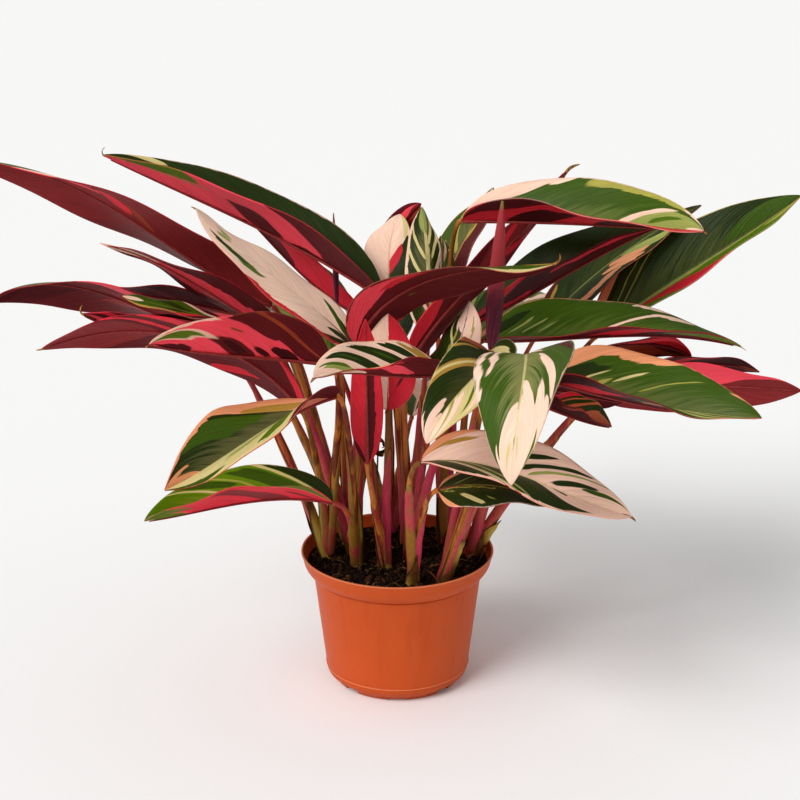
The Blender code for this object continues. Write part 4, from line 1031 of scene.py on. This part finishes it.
def sheath_material(kind):
    """A juicy wrap with a papery rim; the rim is where the sheet's own coordinates end."""
    base, pale, rim_tone = SHEATH_TONES[kind]
    material, shader = new_material(kind + " sheath", base, 0.5, 0.12)
    tree = material.node_tree
    lengthwise_grain = noise(tree, object_place(tree, (1, 1, 0.05)), 560.0, 3.0, 0.65)
    patchy = noise(tree, object_place(tree, (1, 1, 0.3)), 60.0, 3.0)
    skin = mix_colour(tree, ramp_up(tree, patchy, 0.4, 0.65), base, pale)
    place = tree.nodes.new("ShaderNodeUVMap")
    place.uv_map = "UVMap"
    parts = tree.nodes.new("ShaderNodeSeparateXYZ")
    tree.links.new(place.outputs[0], parts.inputs[0])
    sideways = math_node(tree, "ABSOLUTE", math_node(tree, "MULTIPLY_ADD", parts.outputs[0], 2.0, -1.0))
    skin = mix_colour(tree, ramp_up(tree, sideways, 0.80, 0.96), skin, rim_tone)
    skin = mix_colour(tree, math_node(tree, "MULTIPLY", ramp_up(tree, parts.outputs[1], 0.85, 1.0), 0.7), skin, rim_tone)
    shade = math_node(tree, "MULTIPLY_ADD", lengthwise_grain, 1.0, 0.45)
    skin = mix_colour(tree, 1.0, skin, combine(tree, shade, shade, shade), "MULTIPLY")
    tree.links.new(skin, shader.inputs["Base Color"])
    tree.links.new(bump(tree, lengthwise_grain, 0.7, 0.3 * MM), shader.inputs["Normal"])
    return material


sheath_skins = {kind: sheath_material(kind) for kind in SHEATH_TONES}
print("sheath finishes:", list(sheath_skins))

# %% A stalk's path, and the sheath that wraps its lower half
SOIL_TOP = 98 * MM
HOLE_DEPTH = 16 * MM
COLLAR_RADIUS = 5.4 * MM
COLLAR_STRAIGHT = 4 * MM
COLLAR_RISE = 34 * MM
STALK_ROOT_RADIUS = 3.3 * MM
STALK_TIP_RADIUS = 1.8 * MM
STALK_SPREAD = 1.5 * MM
STALK_BOW = 0.6
STALK_LIFT = 12 * MM
KNEE = 12 * MM
KNEE_SWELL = 0.5 * MM


def stalk_path(start, heel, direction):
    """From the collar up to the blade's heel, with a short knee below the blade."""
    before = heel - direction * KNEE
    pull = (before - start) * STALK_BOW
    pull[2] += STALK_LIFT
    t = np.linspace(0, 1, 60)[:, None]
    s = 1 - t
    return start * s ** 3 + (start + pull) * 3 * s * s * t + before * 3 * s * t * t + heel * t ** 3


def stalk_radii(count):
    """Stout at the root, slim above, and a little swollen at the knee."""
    t = np.linspace(0, 1, count)
    radii = STALK_ROOT_RADIUS + (STALK_TIP_RADIUS - STALK_ROOT_RADIUS) * np.minimum(1, t * 1.35)
    return radii + KNEE_SWELL * np.exp(-((t - 0.955) / 0.022) ** 2)


def wrap(path, radii, reach, turn, kind):
    """A sheet wrapped round the lower part of a stalk; it opens on one side and ends in a point."""
    _, first, second = path_frames(path)

    def place(u, v):
        share = v * reach
        opening = np.radians(172) * (1 - 0.72 * v ** 1.6)
        angle = turn + u * opening + 0.5 * v
        out = along_path(radii, share) + (0.75 - 0.35 * v + 0.3 * np.abs(u) ** 3) * MM
        out = out + 0.18 * MM * np.sin(v * 23 + turn * 3 + 4 * u)
        around = np.cos(angle)[:, None] * along_path(first, share) + np.sin(angle)[:, None] * along_path(second, share)
        droop = (1 - u * u) ** 0.5 * 0.10 * reach * v ** 3
        return along_path(path, np.clip(share - 0.10 * reach * v ** 3 + droop, 0, 1)) + around * out[:, None]

    sleeve = sheet("sheath", 16, 36, place)
    sleeve.data.materials.append(sheath_skins[kind])
    thicken(sleeve, 0.35 * MM)
    return sleeve

# %% Shoots: stalks wrapped in sheaths
SHEATH_REACH = (0.44, 0.60)
DRY_SHEATH_REACH = (0.12, 0.26)


def make_shoot(shoot, place):
    """All stalks of one shoot, with its collar and sheaths, as one piece."""
    rng = np.random.default_rng(sum(ord(letter) for letter in shoot))
    foot = np.array((place[0] * MM, place[1] * MM, SOIL_TOP - HOLE_DEPTH + HEEL_GAP))
    ends = [
        (blade.heel, blade.directions(np.array([0.0]))[0][0]) for name, blade in blades.items() if shoot_of[name] == shoot
    ]
    for owner, heel, tip, _ in ROLLED.values():
        if owner == shoot:
            heel = np.array(heel) * MM
            ends.append((heel, unit(np.array(tip) * MM - heel)))
    top = foot + np.array((0, 0, HOLE_DEPTH + COLLAR_STRAIGHT))
    lean = unit(np.mean([heel for heel, _ in ends], axis=0) - foot)
    skins = list(stalk_skins.values())
    first_skin = int(rng.integers(len(skins)))
    parts = []
    for number, (heel, direction) in enumerate(ends):
        aside = heel - foot
        aside[2] = 0
        # A heel straight above the foot lies to no side, so its stalk starts in the middle.
        aside = aside / max(np.linalg.norm(aside), MM)
        path = stalk_path(top + aside * STALK_SPREAD, heel, direction)
        radii = stalk_radii(len(path))
        stalk = rolled_sheet("stalk", path, radii, 12, 64)
        stalk.data.materials.append(skins[(first_skin + number) % len(skins)])
        parts.append(stalk)
        kind = ("fresh", "greenish", "fresh", "fresh")[int(rng.integers(4))]
        parts.append(wrap(path, radii, rng.uniform(*SHEATH_REACH), rng.uniform(0, 2 * math.pi), kind))
    neck = [foot, foot + (top - foot) * 0.5, top, top + lean * COLLAR_RISE * 0.5, top + lean * COLLAR_RISE * 0.8]
    collar = rolled_sheet("collar", neck, [COLLAR_RADIUS * k for k in (0.9, 0.92, 0.86, 0.7, 0.5)], 14, 16)
    collar.data.materials.append(stalk_skins["pink stalk"])
    parts.append(collar)
    path = stalk_path(top - np.array((0, 0, 7 * MM)), ends[0][0], ends[0][1])
    loose = COLLAR_RADIUS * (0.86 - 0.4 * np.linspace(0, 1, len(path)))
    parts.append(wrap(path, loose, rng.uniform(*DRY_SHEATH_REACH), rng.uniform(0, 2 * math.pi), "dry"))
    piece = join_all(shoot.replace("shoot", "stalks"), parts)
    dress(piece, "leaf stalk", shoot)


for shoot, place in SHOOTS.items():
    make_shoot(shoot, place)
print("shoots made:", len(SHOOTS))

# %% [markdown]
# ## New leaves, still rolled
#
# A young leaf comes up rolled like a cigar, with its rim showing as a slanting line. It is a rolled sheet
# whose seam doesn't meet: the outer turn overlaps the inner one, as a real roll does.

# %% Rolled leaves
ROLL_SHAPE = ((0, 0.3), (0.12, 0.75), (0.3, 1), (0.5, 0.95), (0.7, 0.72), (0.88, 0.38), (1, 0.1))
ROLL_TURNS = 1.35


def roll_material():
    material, shader = new_material("rolled leaf", colour(176, 58, 66), 0.45, 0.15)
    tree = material.node_tree
    uv_node = tree.nodes.new("ShaderNodeUVMap")
    uv_node.uv_map = "UVMap"
    parts = tree.nodes.new("ShaderNodeSeparateXYZ")
    tree.links.new(uv_node.outputs[0], parts.inputs[0])
    lanes = combine(
        tree, math_node(tree, "MULTIPLY", parts.outputs[0], 30.0), math_node(tree, "MULTIPLY", parts.outputs[1], 3.0)
    )
    streak = noise(tree, lanes, 1.0, 3.0, 0.6)
    height = ramp_up(tree, parts.outputs[1], 0.30, 0.62)
    skin = mix_colour(tree, height, colour(84, 22, 42), colour(160, 50, 56))
    skin = mix_colour(tree, math_node(tree, "MULTIPLY", ramp_up(tree, streak, 0.55, 0.75), 0.5), skin, colour(190, 84, 80))
    skin = mix_colour(tree, ramp_up(tree, parts.outputs[1], 0.93, 0.99), skin, colour(120, 110, 52))
    shade = math_node(tree, "MULTIPLY_ADD", streak, 0.6, 0.7)
    skin = mix_colour(tree, 1.0, skin, combine(tree, shade, shade, shade), "MULTIPLY")
    tree.links.new(skin, shader.inputs["Base Color"])
    tree.links.new(bump(tree, streak, 0.5, 0.3 * MM), shader.inputs["Normal"])
    return material


roll_skin = roll_material()
for name, (shoot, heel, tip, radius) in ROLLED.items():
    heel = np.array(heel, float) * MM
    tip = np.array(tip, float) * MM
    path = heel + (tip - heel) * np.linspace(0, 1, 30)[:, None]
    _, first, second = path_frames(path)
    shares, widths = zip(*ROLL_SHAPE)

    def place(u, v):
        turn = np.pi * ROLL_TURNS * u + 2.2 * v
        out = radius * MM * np.interp(v, shares, widths) * (0.9 + 0.07 * u)
        around = np.cos(turn)[:, None] * along_path(first, v) + np.sin(turn)[:, None] * along_path(second, v)
        return along_path(path, v) + around * out[:, None]

    roll = sheet(name.replace("leaf_", ""), 40, 60, place)
    roll.data.materials.append(roll_skin)
    thicken(roll, 0.4 * MM)
    dress(roll, "leaf underside", name)
print("rolled leaves made:", len(ROLLED))

# %% [markdown]
# ## Pot
#
# A nursery pot is blown or moulded in one piece of thin, slightly satin plastic. Its section is drawn once
# and spun round the axis, which is how it is turned in the mould. The notches in its foot let water out.

# %% Pot
RIM_RADIUS = 76 * MM
POT_HEIGHT = 108 * MM
BAND_HEIGHT = 17 * MM
BAND_RADIUS = 74 * MM
NECK_RADIUS = 66.5 * MM
BODY_FOOT_RADIUS = 57 * MM
FOOT_RADIUS = 50 * MM
WALL = 2 * MM
FOOT_STEP = 8 * MM
FLOOR_UNDERSIDE = 4 * MM
BOSS_RADIUS = 14 * MM
NOTCHES = 8
NOTCH_WIDTH = 13 * MM
NOTCH_LOW = 1.8 * MM
NOTCH_HIGH = 4.8 * MM
NOTCH_REACH = 15 * MM
POT_STEPS = 160
BAND_FOOT = POT_HEIGHT - BAND_HEIGHT
MOULD_LINE = FOOT_STEP * 1.53


def arc(middle, radius, start, end, steps=5):
    """Points on a round corner of the section, angles in degrees."""
    points = []
    for i in range(steps):
        angle = math.radians(start + (end - start) * i / (steps - 1))
        points.append((middle[0] + radius * math.cos(angle), middle[1] + radius * math.sin(angle)))
    return points


section = [(0, 0), (BOSS_RADIUS - 1 * MM, 0)]
section += arc((BOSS_RADIUS - 0.5 * MM, 0.5 * MM), 0.5 * MM, -90, 0, 3)
section += [(BOSS_RADIUS + 0.6 * MM, FLOOR_UNDERSIDE), (FOOT_RADIUS - 4 * MM, FLOOR_UNDERSIDE)]
section += [(FOOT_RADIUS - 3.2 * MM, 0.4 * MM)]
section += [(FOOT_RADIUS - 2.6 * MM, 0), (FOOT_RADIUS - 0.6 * MM, 0)]
section += [(FOOT_RADIUS + 0.2 * MM, 0.5 * MM), (FOOT_RADIUS + 2 * MM, FOOT_STEP * 0.45)]
section += [(BODY_FOOT_RADIUS - 2.4 * MM, FOOT_STEP * 0.7), (BODY_FOOT_RADIUS - 1.2 * MM, FOOT_STEP * 0.85)]
section += [(BODY_FOOT_RADIUS - 0.35 * MM, FOOT_STEP * 1.1), (BODY_FOOT_RADIUS, FOOT_STEP * 1.45)]
section += [(BODY_FOOT_RADIUS + 0.55 * MM, FOOT_STEP * 1.5), (BODY_FOOT_RADIUS + 0.5 * MM, FOOT_STEP * 1.56)]
section += [(BODY_FOOT_RADIUS + 0.1 * MM, FOOT_STEP * 1.62)]
section += [(NECK_RADIUS - 0.3 * MM, BAND_FOOT - 2 * MM), (NECK_RADIUS - 0.9 * MM, BAND_FOOT - 1 * MM)]
section += [(NECK_RADIUS - 0.5 * MM, BAND_FOOT - 0.1 * MM), (NECK_RADIUS + 2.6 * MM, BAND_FOOT + 0.7 * MM)]
section += [(BAND_RADIUS - 2.7 * MM, BAND_FOOT + 3.4 * MM)]
section += [(BAND_RADIUS - 1 * MM, BAND_FOOT + 6.2 * MM), (BAND_RADIUS - 0.25 * MM, BAND_FOOT + 8 * MM)]
section += [(BAND_RADIUS + 0.15 * MM, BAND_FOOT + 10 * MM)]
section += [(RIM_RADIUS - 0.5 * MM, POT_HEIGHT - 2.2 * MM)]
section += arc((RIM_RADIUS - 0.9 * MM, POT_HEIGHT - 0.9 * MM), 0.9 * MM, 0, 180, 7)
section += [(RIM_RADIUS - 2.1 * MM, POT_HEIGHT - 2.5 * MM), (BAND_RADIUS - WALL, BAND_FOOT + 8 * MM)]
section += [(BAND_RADIUS - 2.5 * MM - WALL, BAND_FOOT + 4 * MM), (NECK_RADIUS - WALL, BAND_FOOT - 1 * MM)]
section += [(BODY_FOOT_RADIUS - WALL, FOOT_STEP * 1.5)]
section += [(FOOT_RADIUS, FLOOR_UNDERSIDE + WALL), (0, FLOOR_UNDERSIDE + WALL)]


def spun(name, points, steps):
    """A closed piece: the section's points spun once round the upright axis."""
    bpy.ops.object.select_all(action="DESELECT")
    mesh = bpy.data.meshes.new(name)
    corners = [(radius, 0, height) for radius, height in points]
    mesh.from_pydata(corners, [(i, i + 1) for i in range(len(corners) - 1)], [])
    piece = bpy.data.objects.new(name, mesh)
    scene.collection.objects.link(piece)
    piece.select_set(True)
    bpy.context.view_layer.objects.active = piece
    bpy.ops.object.mode_set(mode="EDIT")
    bpy.ops.mesh.select_all(action="SELECT")
    bpy.ops.mesh.spin(steps=steps, angle=2 * math.pi, center=(0, 0, 0), axis=(0, 0, 1))
    bpy.ops.mesh.select_all(action="SELECT")
    bpy.ops.mesh.remove_doubles(threshold=0.00001)
    bpy.ops.mesh.normals_make_consistent(inside=False)
    bpy.ops.object.mode_set(mode="OBJECT")
    return piece


def pot_material():
    """Orange plastic: cloudy colour, upright drag lines from the mould, scuffs, and darker patches towards the foot."""
    material, shader = new_material("terracotta plastic", colour(192, 80, 30), 0.45, 0.14)
    tree = material.node_tree
    cloudy = noise(tree, object_place(tree), 14.0, 3.0)
    scuffs = noise(tree, object_place(tree, (1, 1, 3)), 170.0, 4.0, 0.7)
    mould = noise(tree, object_place(tree, (1, 1, 0.12)), 90.0, 2.0)
    skin = mix_colour(tree, cloudy, colour(188, 72, 24), colour(204, 86, 34))
    skin = mix_colour(tree, math_node(tree, "MULTIPLY", ramp_up(tree, mould, 0.5, 0.8), 0.3), skin, colour(168, 54, 18))
    specks = ramp_up(tree, noise(tree, object_place(tree), 620.0, 2.0), 0.69, 0.75)
    skin = mix_colour(tree, math_node(tree, "MULTIPLY", specks, 0.5), skin, colour(112, 42, 18))
    height = tree.nodes.new("ShaderNodeSeparateXYZ")
    tree.links.new(object_place(tree), height.inputs[0])
    # Darker patches that fade out over the lowest 20 mm of the pot.
    foot_darkening = math_node(tree, "MULTIPLY", ramp_up(tree, height.outputs[2], 0.02, 0.0), ramp_up(tree, scuffs, 0.35, 0.7))
    skin = mix_colour(tree, math_node(tree, "MULTIPLY", foot_darkening, 0.5), skin, colour(146, 66, 34))
    for middle, reach, share in ((MOULD_LINE, 0.5 * MM, 0.55), (POT_HEIGHT, 1.4 * MM, 0.5)):
        away = math_node(tree, "ABSOLUTE", math_node(tree, "SUBTRACT", height.outputs[2], middle))
        line = math_node(tree, "MULTIPLY", ramp_up(tree, away, reach, reach * 0.4), share)
        skin = mix_colour(tree, line, skin, colour(236, 148, 102))
    tree.links.new(skin, shader.inputs["Base Color"])
    tree.links.new(math_node(tree, "MULTIPLY_ADD", scuffs, 0.3, 0.3), shader.inputs["Roughness"])
    relief = math_node(tree, "MULTIPLY_ADD", scuffs, 0.5, mould)
    tree.links.new(bump(tree, relief, 0.2, 0.3 * MM), shader.inputs["Normal"])
    return material


pot = spun("nursery_pot", section, POT_STEPS)
pot.data.materials.append(pot_material())
cutters = []
for number in range(NOTCHES):
    angle = -math.pi / 2 + 2 * math.pi * number / NOTCHES
    bpy.ops.mesh.primitive_cube_add(
        size=1,
        location=(FOOT_RADIUS * math.cos(angle), FOOT_RADIUS * math.sin(angle), 0),
        rotation=(0, 0, angle),
    )
    cutter = bpy.context.object
    cutter.scale = (NOTCH_REACH, NOTCH_WIDTH, 2 * (NOTCH_LOW, NOTCH_HIGH)[number % 2])
    cutters.append(cutter)
cutter = join_all("notches", cutters)
bpy.ops.object.transform_apply(location=True, rotation=True, scale=True)
cut = pot.modifiers.new("notches", "BOOLEAN")
cut.operation = "DIFFERENCE"
cut.object = cutter
cut.solver = "EXACT"
bpy.ops.object.select_all(action="DESELECT")
pot.select_set(True)
bpy.context.view_layer.objects.active = pot
bpy.ops.object.modifier_apply(modifier=cut.name)
bpy.data.objects.remove(cutter)
bpy.ops.object.shade_smooth_by_angle(angle=math.radians(35))
dress(pot, "terracotta plastic", "pot")
print("pot faces:", len(pot.data.polygons))

# %% [markdown]
# ## Soil
#
# Peat compost is nearly black and crumbly, with paler bits of straw and root in it. The bed is a sheet laid
# out as a disc and raised by a rule in low lumps. On it lie crumbs of many sizes, and fine roots and straws.

# %% Soil
SOIL_SWELL = 2.5 * MM
SOIL_LUMP = 0.8 * MM
BED_RADIUS = 71 * MM
BED_FLANK = ((68.2 * MM, 95 * MM), (63.5 * MM, 90 * MM), (54 * MM, 12.5 * MM), (49 * MM, 6.5 * MM))
CRUMBS = 2200
STRAWS = 90


def soil_height(x, y):
    """The top of the soil: a low mound with soft lumps."""
    out = np.minimum(np.hypot(x, y) / (70 * MM), 1)
    lumps = np.sin(x * 210 + 1.3) * np.cos(y * 190 - 0.6) + 0.6 * np.sin(x * 430 - y * 370)
    return SOIL_TOP + SOIL_SWELL * (1 - out * out) + SOIL_LUMP * lumps * (1 - out ** 4)


def soil_material(name, dark, pale, fleck, share):
    material, shader = new_material(name, dark, 0.95, 0.06)
    tree = material.node_tree
    grain = noise(tree, object_place(tree), 900.0, 4.0, 0.7)
    patchy = noise(tree, object_place(tree), 120.0, 3.0)
    skin = mix_colour(tree, ramp_up(tree, patchy, 0.4, 0.75), dark, pale)
    flecks = ramp_up(tree, grain, 0.66 - share, 0.74 - share)
    skin = mix_colour(tree, math_node(tree, "MULTIPLY", flecks, 0.8), skin, fleck)
    tree.links.new(skin, shader.inputs["Base Color"])
    tree.links.new(bump(tree, grain, 1.0, 1.2 * MM), shader.inputs["Normal"])
    return material


bed_skin = soil_material("damp soil", colour(20, 13, 10), colour(44, 30, 22), colour(132, 94, 62), 0.0)
crumb_skin = soil_material("soil crumbs", colour(30, 19, 13), colour(80, 50, 32), colour(196, 150, 108), 0.05)
root_skin = soil_material("roots and dead stem", colour(70, 40, 18), colour(150, 96, 44), colour(120, 110, 104), 0.06)
straw_skin = soil_material("straw and roots", colour(74, 50, 30), colour(176, 138, 84), colour(214, 186, 130), 0.1)


def bed(u, v):
    radius = BED_RADIUS * v
    x = radius * np.cos(np.pi * u)
    y = radius * np.sin(np.pi * u)
    crumble = 0.35 * MM * (np.sin(x * 1900 + 2 * np.sin(y * 800)) + np.cos(y * 1700 + 2 * np.sin(x * 950)))
    height = soil_height(x, y) + crumble * (v < 0.97)
    return np.stack([x, y, height], axis=-1)


surface = sheet("soil_bed", 128, 64, bed)
bpy.ops.object.mode_set(mode="EDIT")
bpy.ops.mesh.select_all(action="SELECT")
bpy.ops.mesh.remove_doubles(threshold=0.00001)
bpy.ops.mesh.select_all(action="DESELECT")
bpy.ops.mesh.select_non_manifold()
ring_radius, ring_height = BED_RADIUS, SOIL_TOP
for radius, height in BED_FLANK:
    bpy.ops.mesh.extrude_region_move(TRANSFORM_OT_translate={"value": (0, 0, height - ring_height)})
    share = radius / ring_radius
    bpy.ops.transform.resize(value=(share, share, 1), center_override=(0, 0, height))
    ring_radius, ring_height = radius, height
bpy.ops.mesh.edge_face_add()
bpy.ops.mesh.select_all(action="SELECT")
bpy.ops.mesh.normals_make_consistent(inside=False)
bpy.ops.object.mode_set(mode="OBJECT")
surface.data.materials.append(bed_skin)
surface.data.shade_smooth()
dress(surface, "soil", "soil")
print("soil bed faces:", len(surface.data.polygons))


# %% Crumbs, straws and roots
def scatter(rng, count, reach):
    """Seeded places over the bed, clear of the pot's wall."""
    radius = reach * np.sqrt(rng.uniform(0, 1, count))
    angle = rng.uniform(0, 2 * np.pi, count)
    return radius * np.cos(angle), radius * np.sin(angle)


def make_crumbs():
    rng = np.random.default_rng(7)
    bpy.ops.object.select_all(action="DESELECT")
    bpy.ops.mesh.primitive_ico_sphere_add(subdivisions=1, radius=1)
    crumb = bpy.context.object
    corners = np.array([corner.co for corner in crumb.data.vertices])
    faces = np.array([face.vertices for face in crumb.data.polygons])
    xs, ys = scatter(rng, CRUMBS, BED_RADIUS - 2 * MM)
    points, polygons = [], []
    for x, y in zip(xs, ys):
        size = rng.uniform(0.3, 1.0) ** 2 * 2.9 * MM
        shape = corners * rng.uniform(0.55, 1.3, (len(corners), 1)) * rng.uniform(0.6, 1.2, 3) * size
        middle = np.array((x, y, soil_height(x, y) + size * 0.25))
        polygons.append(faces + len(corners) * len(points))
        points.append(shape + middle)
    crumb.data.clear_geometry()
    crumb.data.from_pydata(np.vstack(points).tolist(), [], np.vstack(polygons).tolist())
    crumb.data.materials.append(crumb_skin)
    crumb.name = "soil_crumbs"
    crumb.data.name = "soil_crumbs"
    crumb.data.shade_smooth()
    dress(crumb, "soil")
    return crumb


def make_straws():
    rng = np.random.default_rng(11)
    xs, ys = scatter(rng, STRAWS, BED_RADIUS - 9 * MM)
    parts = []
    for x, y in zip(xs, ys):
        length = rng.uniform(3, 12) * MM
        heading = rng.uniform(0, 2 * math.pi)
        bend = rng.uniform(-0.7, 0.7)
        t = np.linspace(0, 1, 8)
        turn = heading + bend * t
        px = x + np.cumsum(np.cos(turn)) * length / 8
        py = y + np.cumsum(np.sin(turn)) * length / 8
        out = np.minimum(1, (BED_RADIUS - 2 * MM) / np.hypot(px, py))
        px, py = px * out, py * out
        pz = soil_height(px, py) + 0.7 * MM + np.sin(t * np.pi) * rng.uniform(0, 2.0) * MM
        radius = rng.uniform(0.22, 0.55) * MM
        parts.append(rolled_sheet("straw", np.stack([px, py, pz], axis=-1), [radius * k for k in (0.6, 1, 1, 0.5)], 5, 7))
    straws = join_all("straws_and_roots", parts)
    straws.data.materials.clear()
    straws.data.materials.append(straw_skin)
    dress(straws, "soil")
    return straws


# Loose roots: start, height point and end in millimetres, and the radius
ROOTS = (
    ((34, -52, 98), (18, -44, 118), (23, -34, 97), 0.9),
    ((36, -12, 98), (30, -30, 109), (22, -22, 98), 0.7),
    ((66, 4, 100), (75, 8, 128), (70, 20, 116), 0.8),
    ((64, -8, 99), (74, 0, 116), (66, 10, 103), 0.6),
    ((-46, -38, 97), (-40, -46, 104), (-30, -44, 97), 0.5),
    ((-10, -58, 98), (-2, -50, 106), (6, -60, 98), 0.6),
    ((4, -40, 98), (-2, -36, 112), (-8, -42, 99), 0.5),
)
DRIED_STEM = ((-16, 4, 97), (-19, 2, 160), (-14, -2, 196), 1.1)


def bent_rod(start, middle, end, radius):
    """A thin round rod that bows from start to end by way of a pull towards the middle point."""
    start, middle, end = (np.array(point, float) * MM for point in (start, middle, end))
    t = np.linspace(0, 1, 26)[:, None]
    path = start * (1 - t) ** 2 + middle * 2 * t * (1 - t) + end * t * t
    sway = np.sin(t * 9 + radius * 7) * 0.8 * MM * t * (1 - t) * 4
    path = path + sway * np.array((1.0, 0.6, 0.0))
    return rolled_sheet("root", path, radius * MM * (1 - 0.5 * t[:, 0]), 8, 30)


def make_roots():
    """Roots that stand out of the soil, and a dead stem with its shrivelled leaf."""
    parts = [bent_rod(*row) for row in ROOTS + (DRIED_STEM,)]
    top = np.array(DRIED_STEM[2], float) * MM

    def shrivelled(u, v):
        turn = 5.6 * v + 0.9 * u
        out = (3.2 + 2.6 * v + 0.9 * np.sin(7 * u + 5 * v)) * MM
        x = top[0] + out * np.cos(turn)
        y = top[1] + (3.4 * u + 1.2 * np.sin(9 * v)) * MM
        z = top[2] + out * np.sin(turn) - 4 * v * MM
        return np.stack([x, y, z], axis=-1)

    curl = sheet("curl", 14, 40, shrivelled)
    thicken(curl, 0.35 * MM)
    parts.append(curl)
    roots = join_all("roots_and_dead_stem", parts)
    roots.data.materials.clear()
    roots.data.materials.append(root_skin)
    dress(roots, "soil")
    return roots


roots = make_roots()
print("root faces:", len(roots.data.polygons))
crumbs = make_crumbs()
straws = make_straws()
print("crumb faces:", len(crumbs.data.polygons), "straw faces:", len(straws.data.polygons))
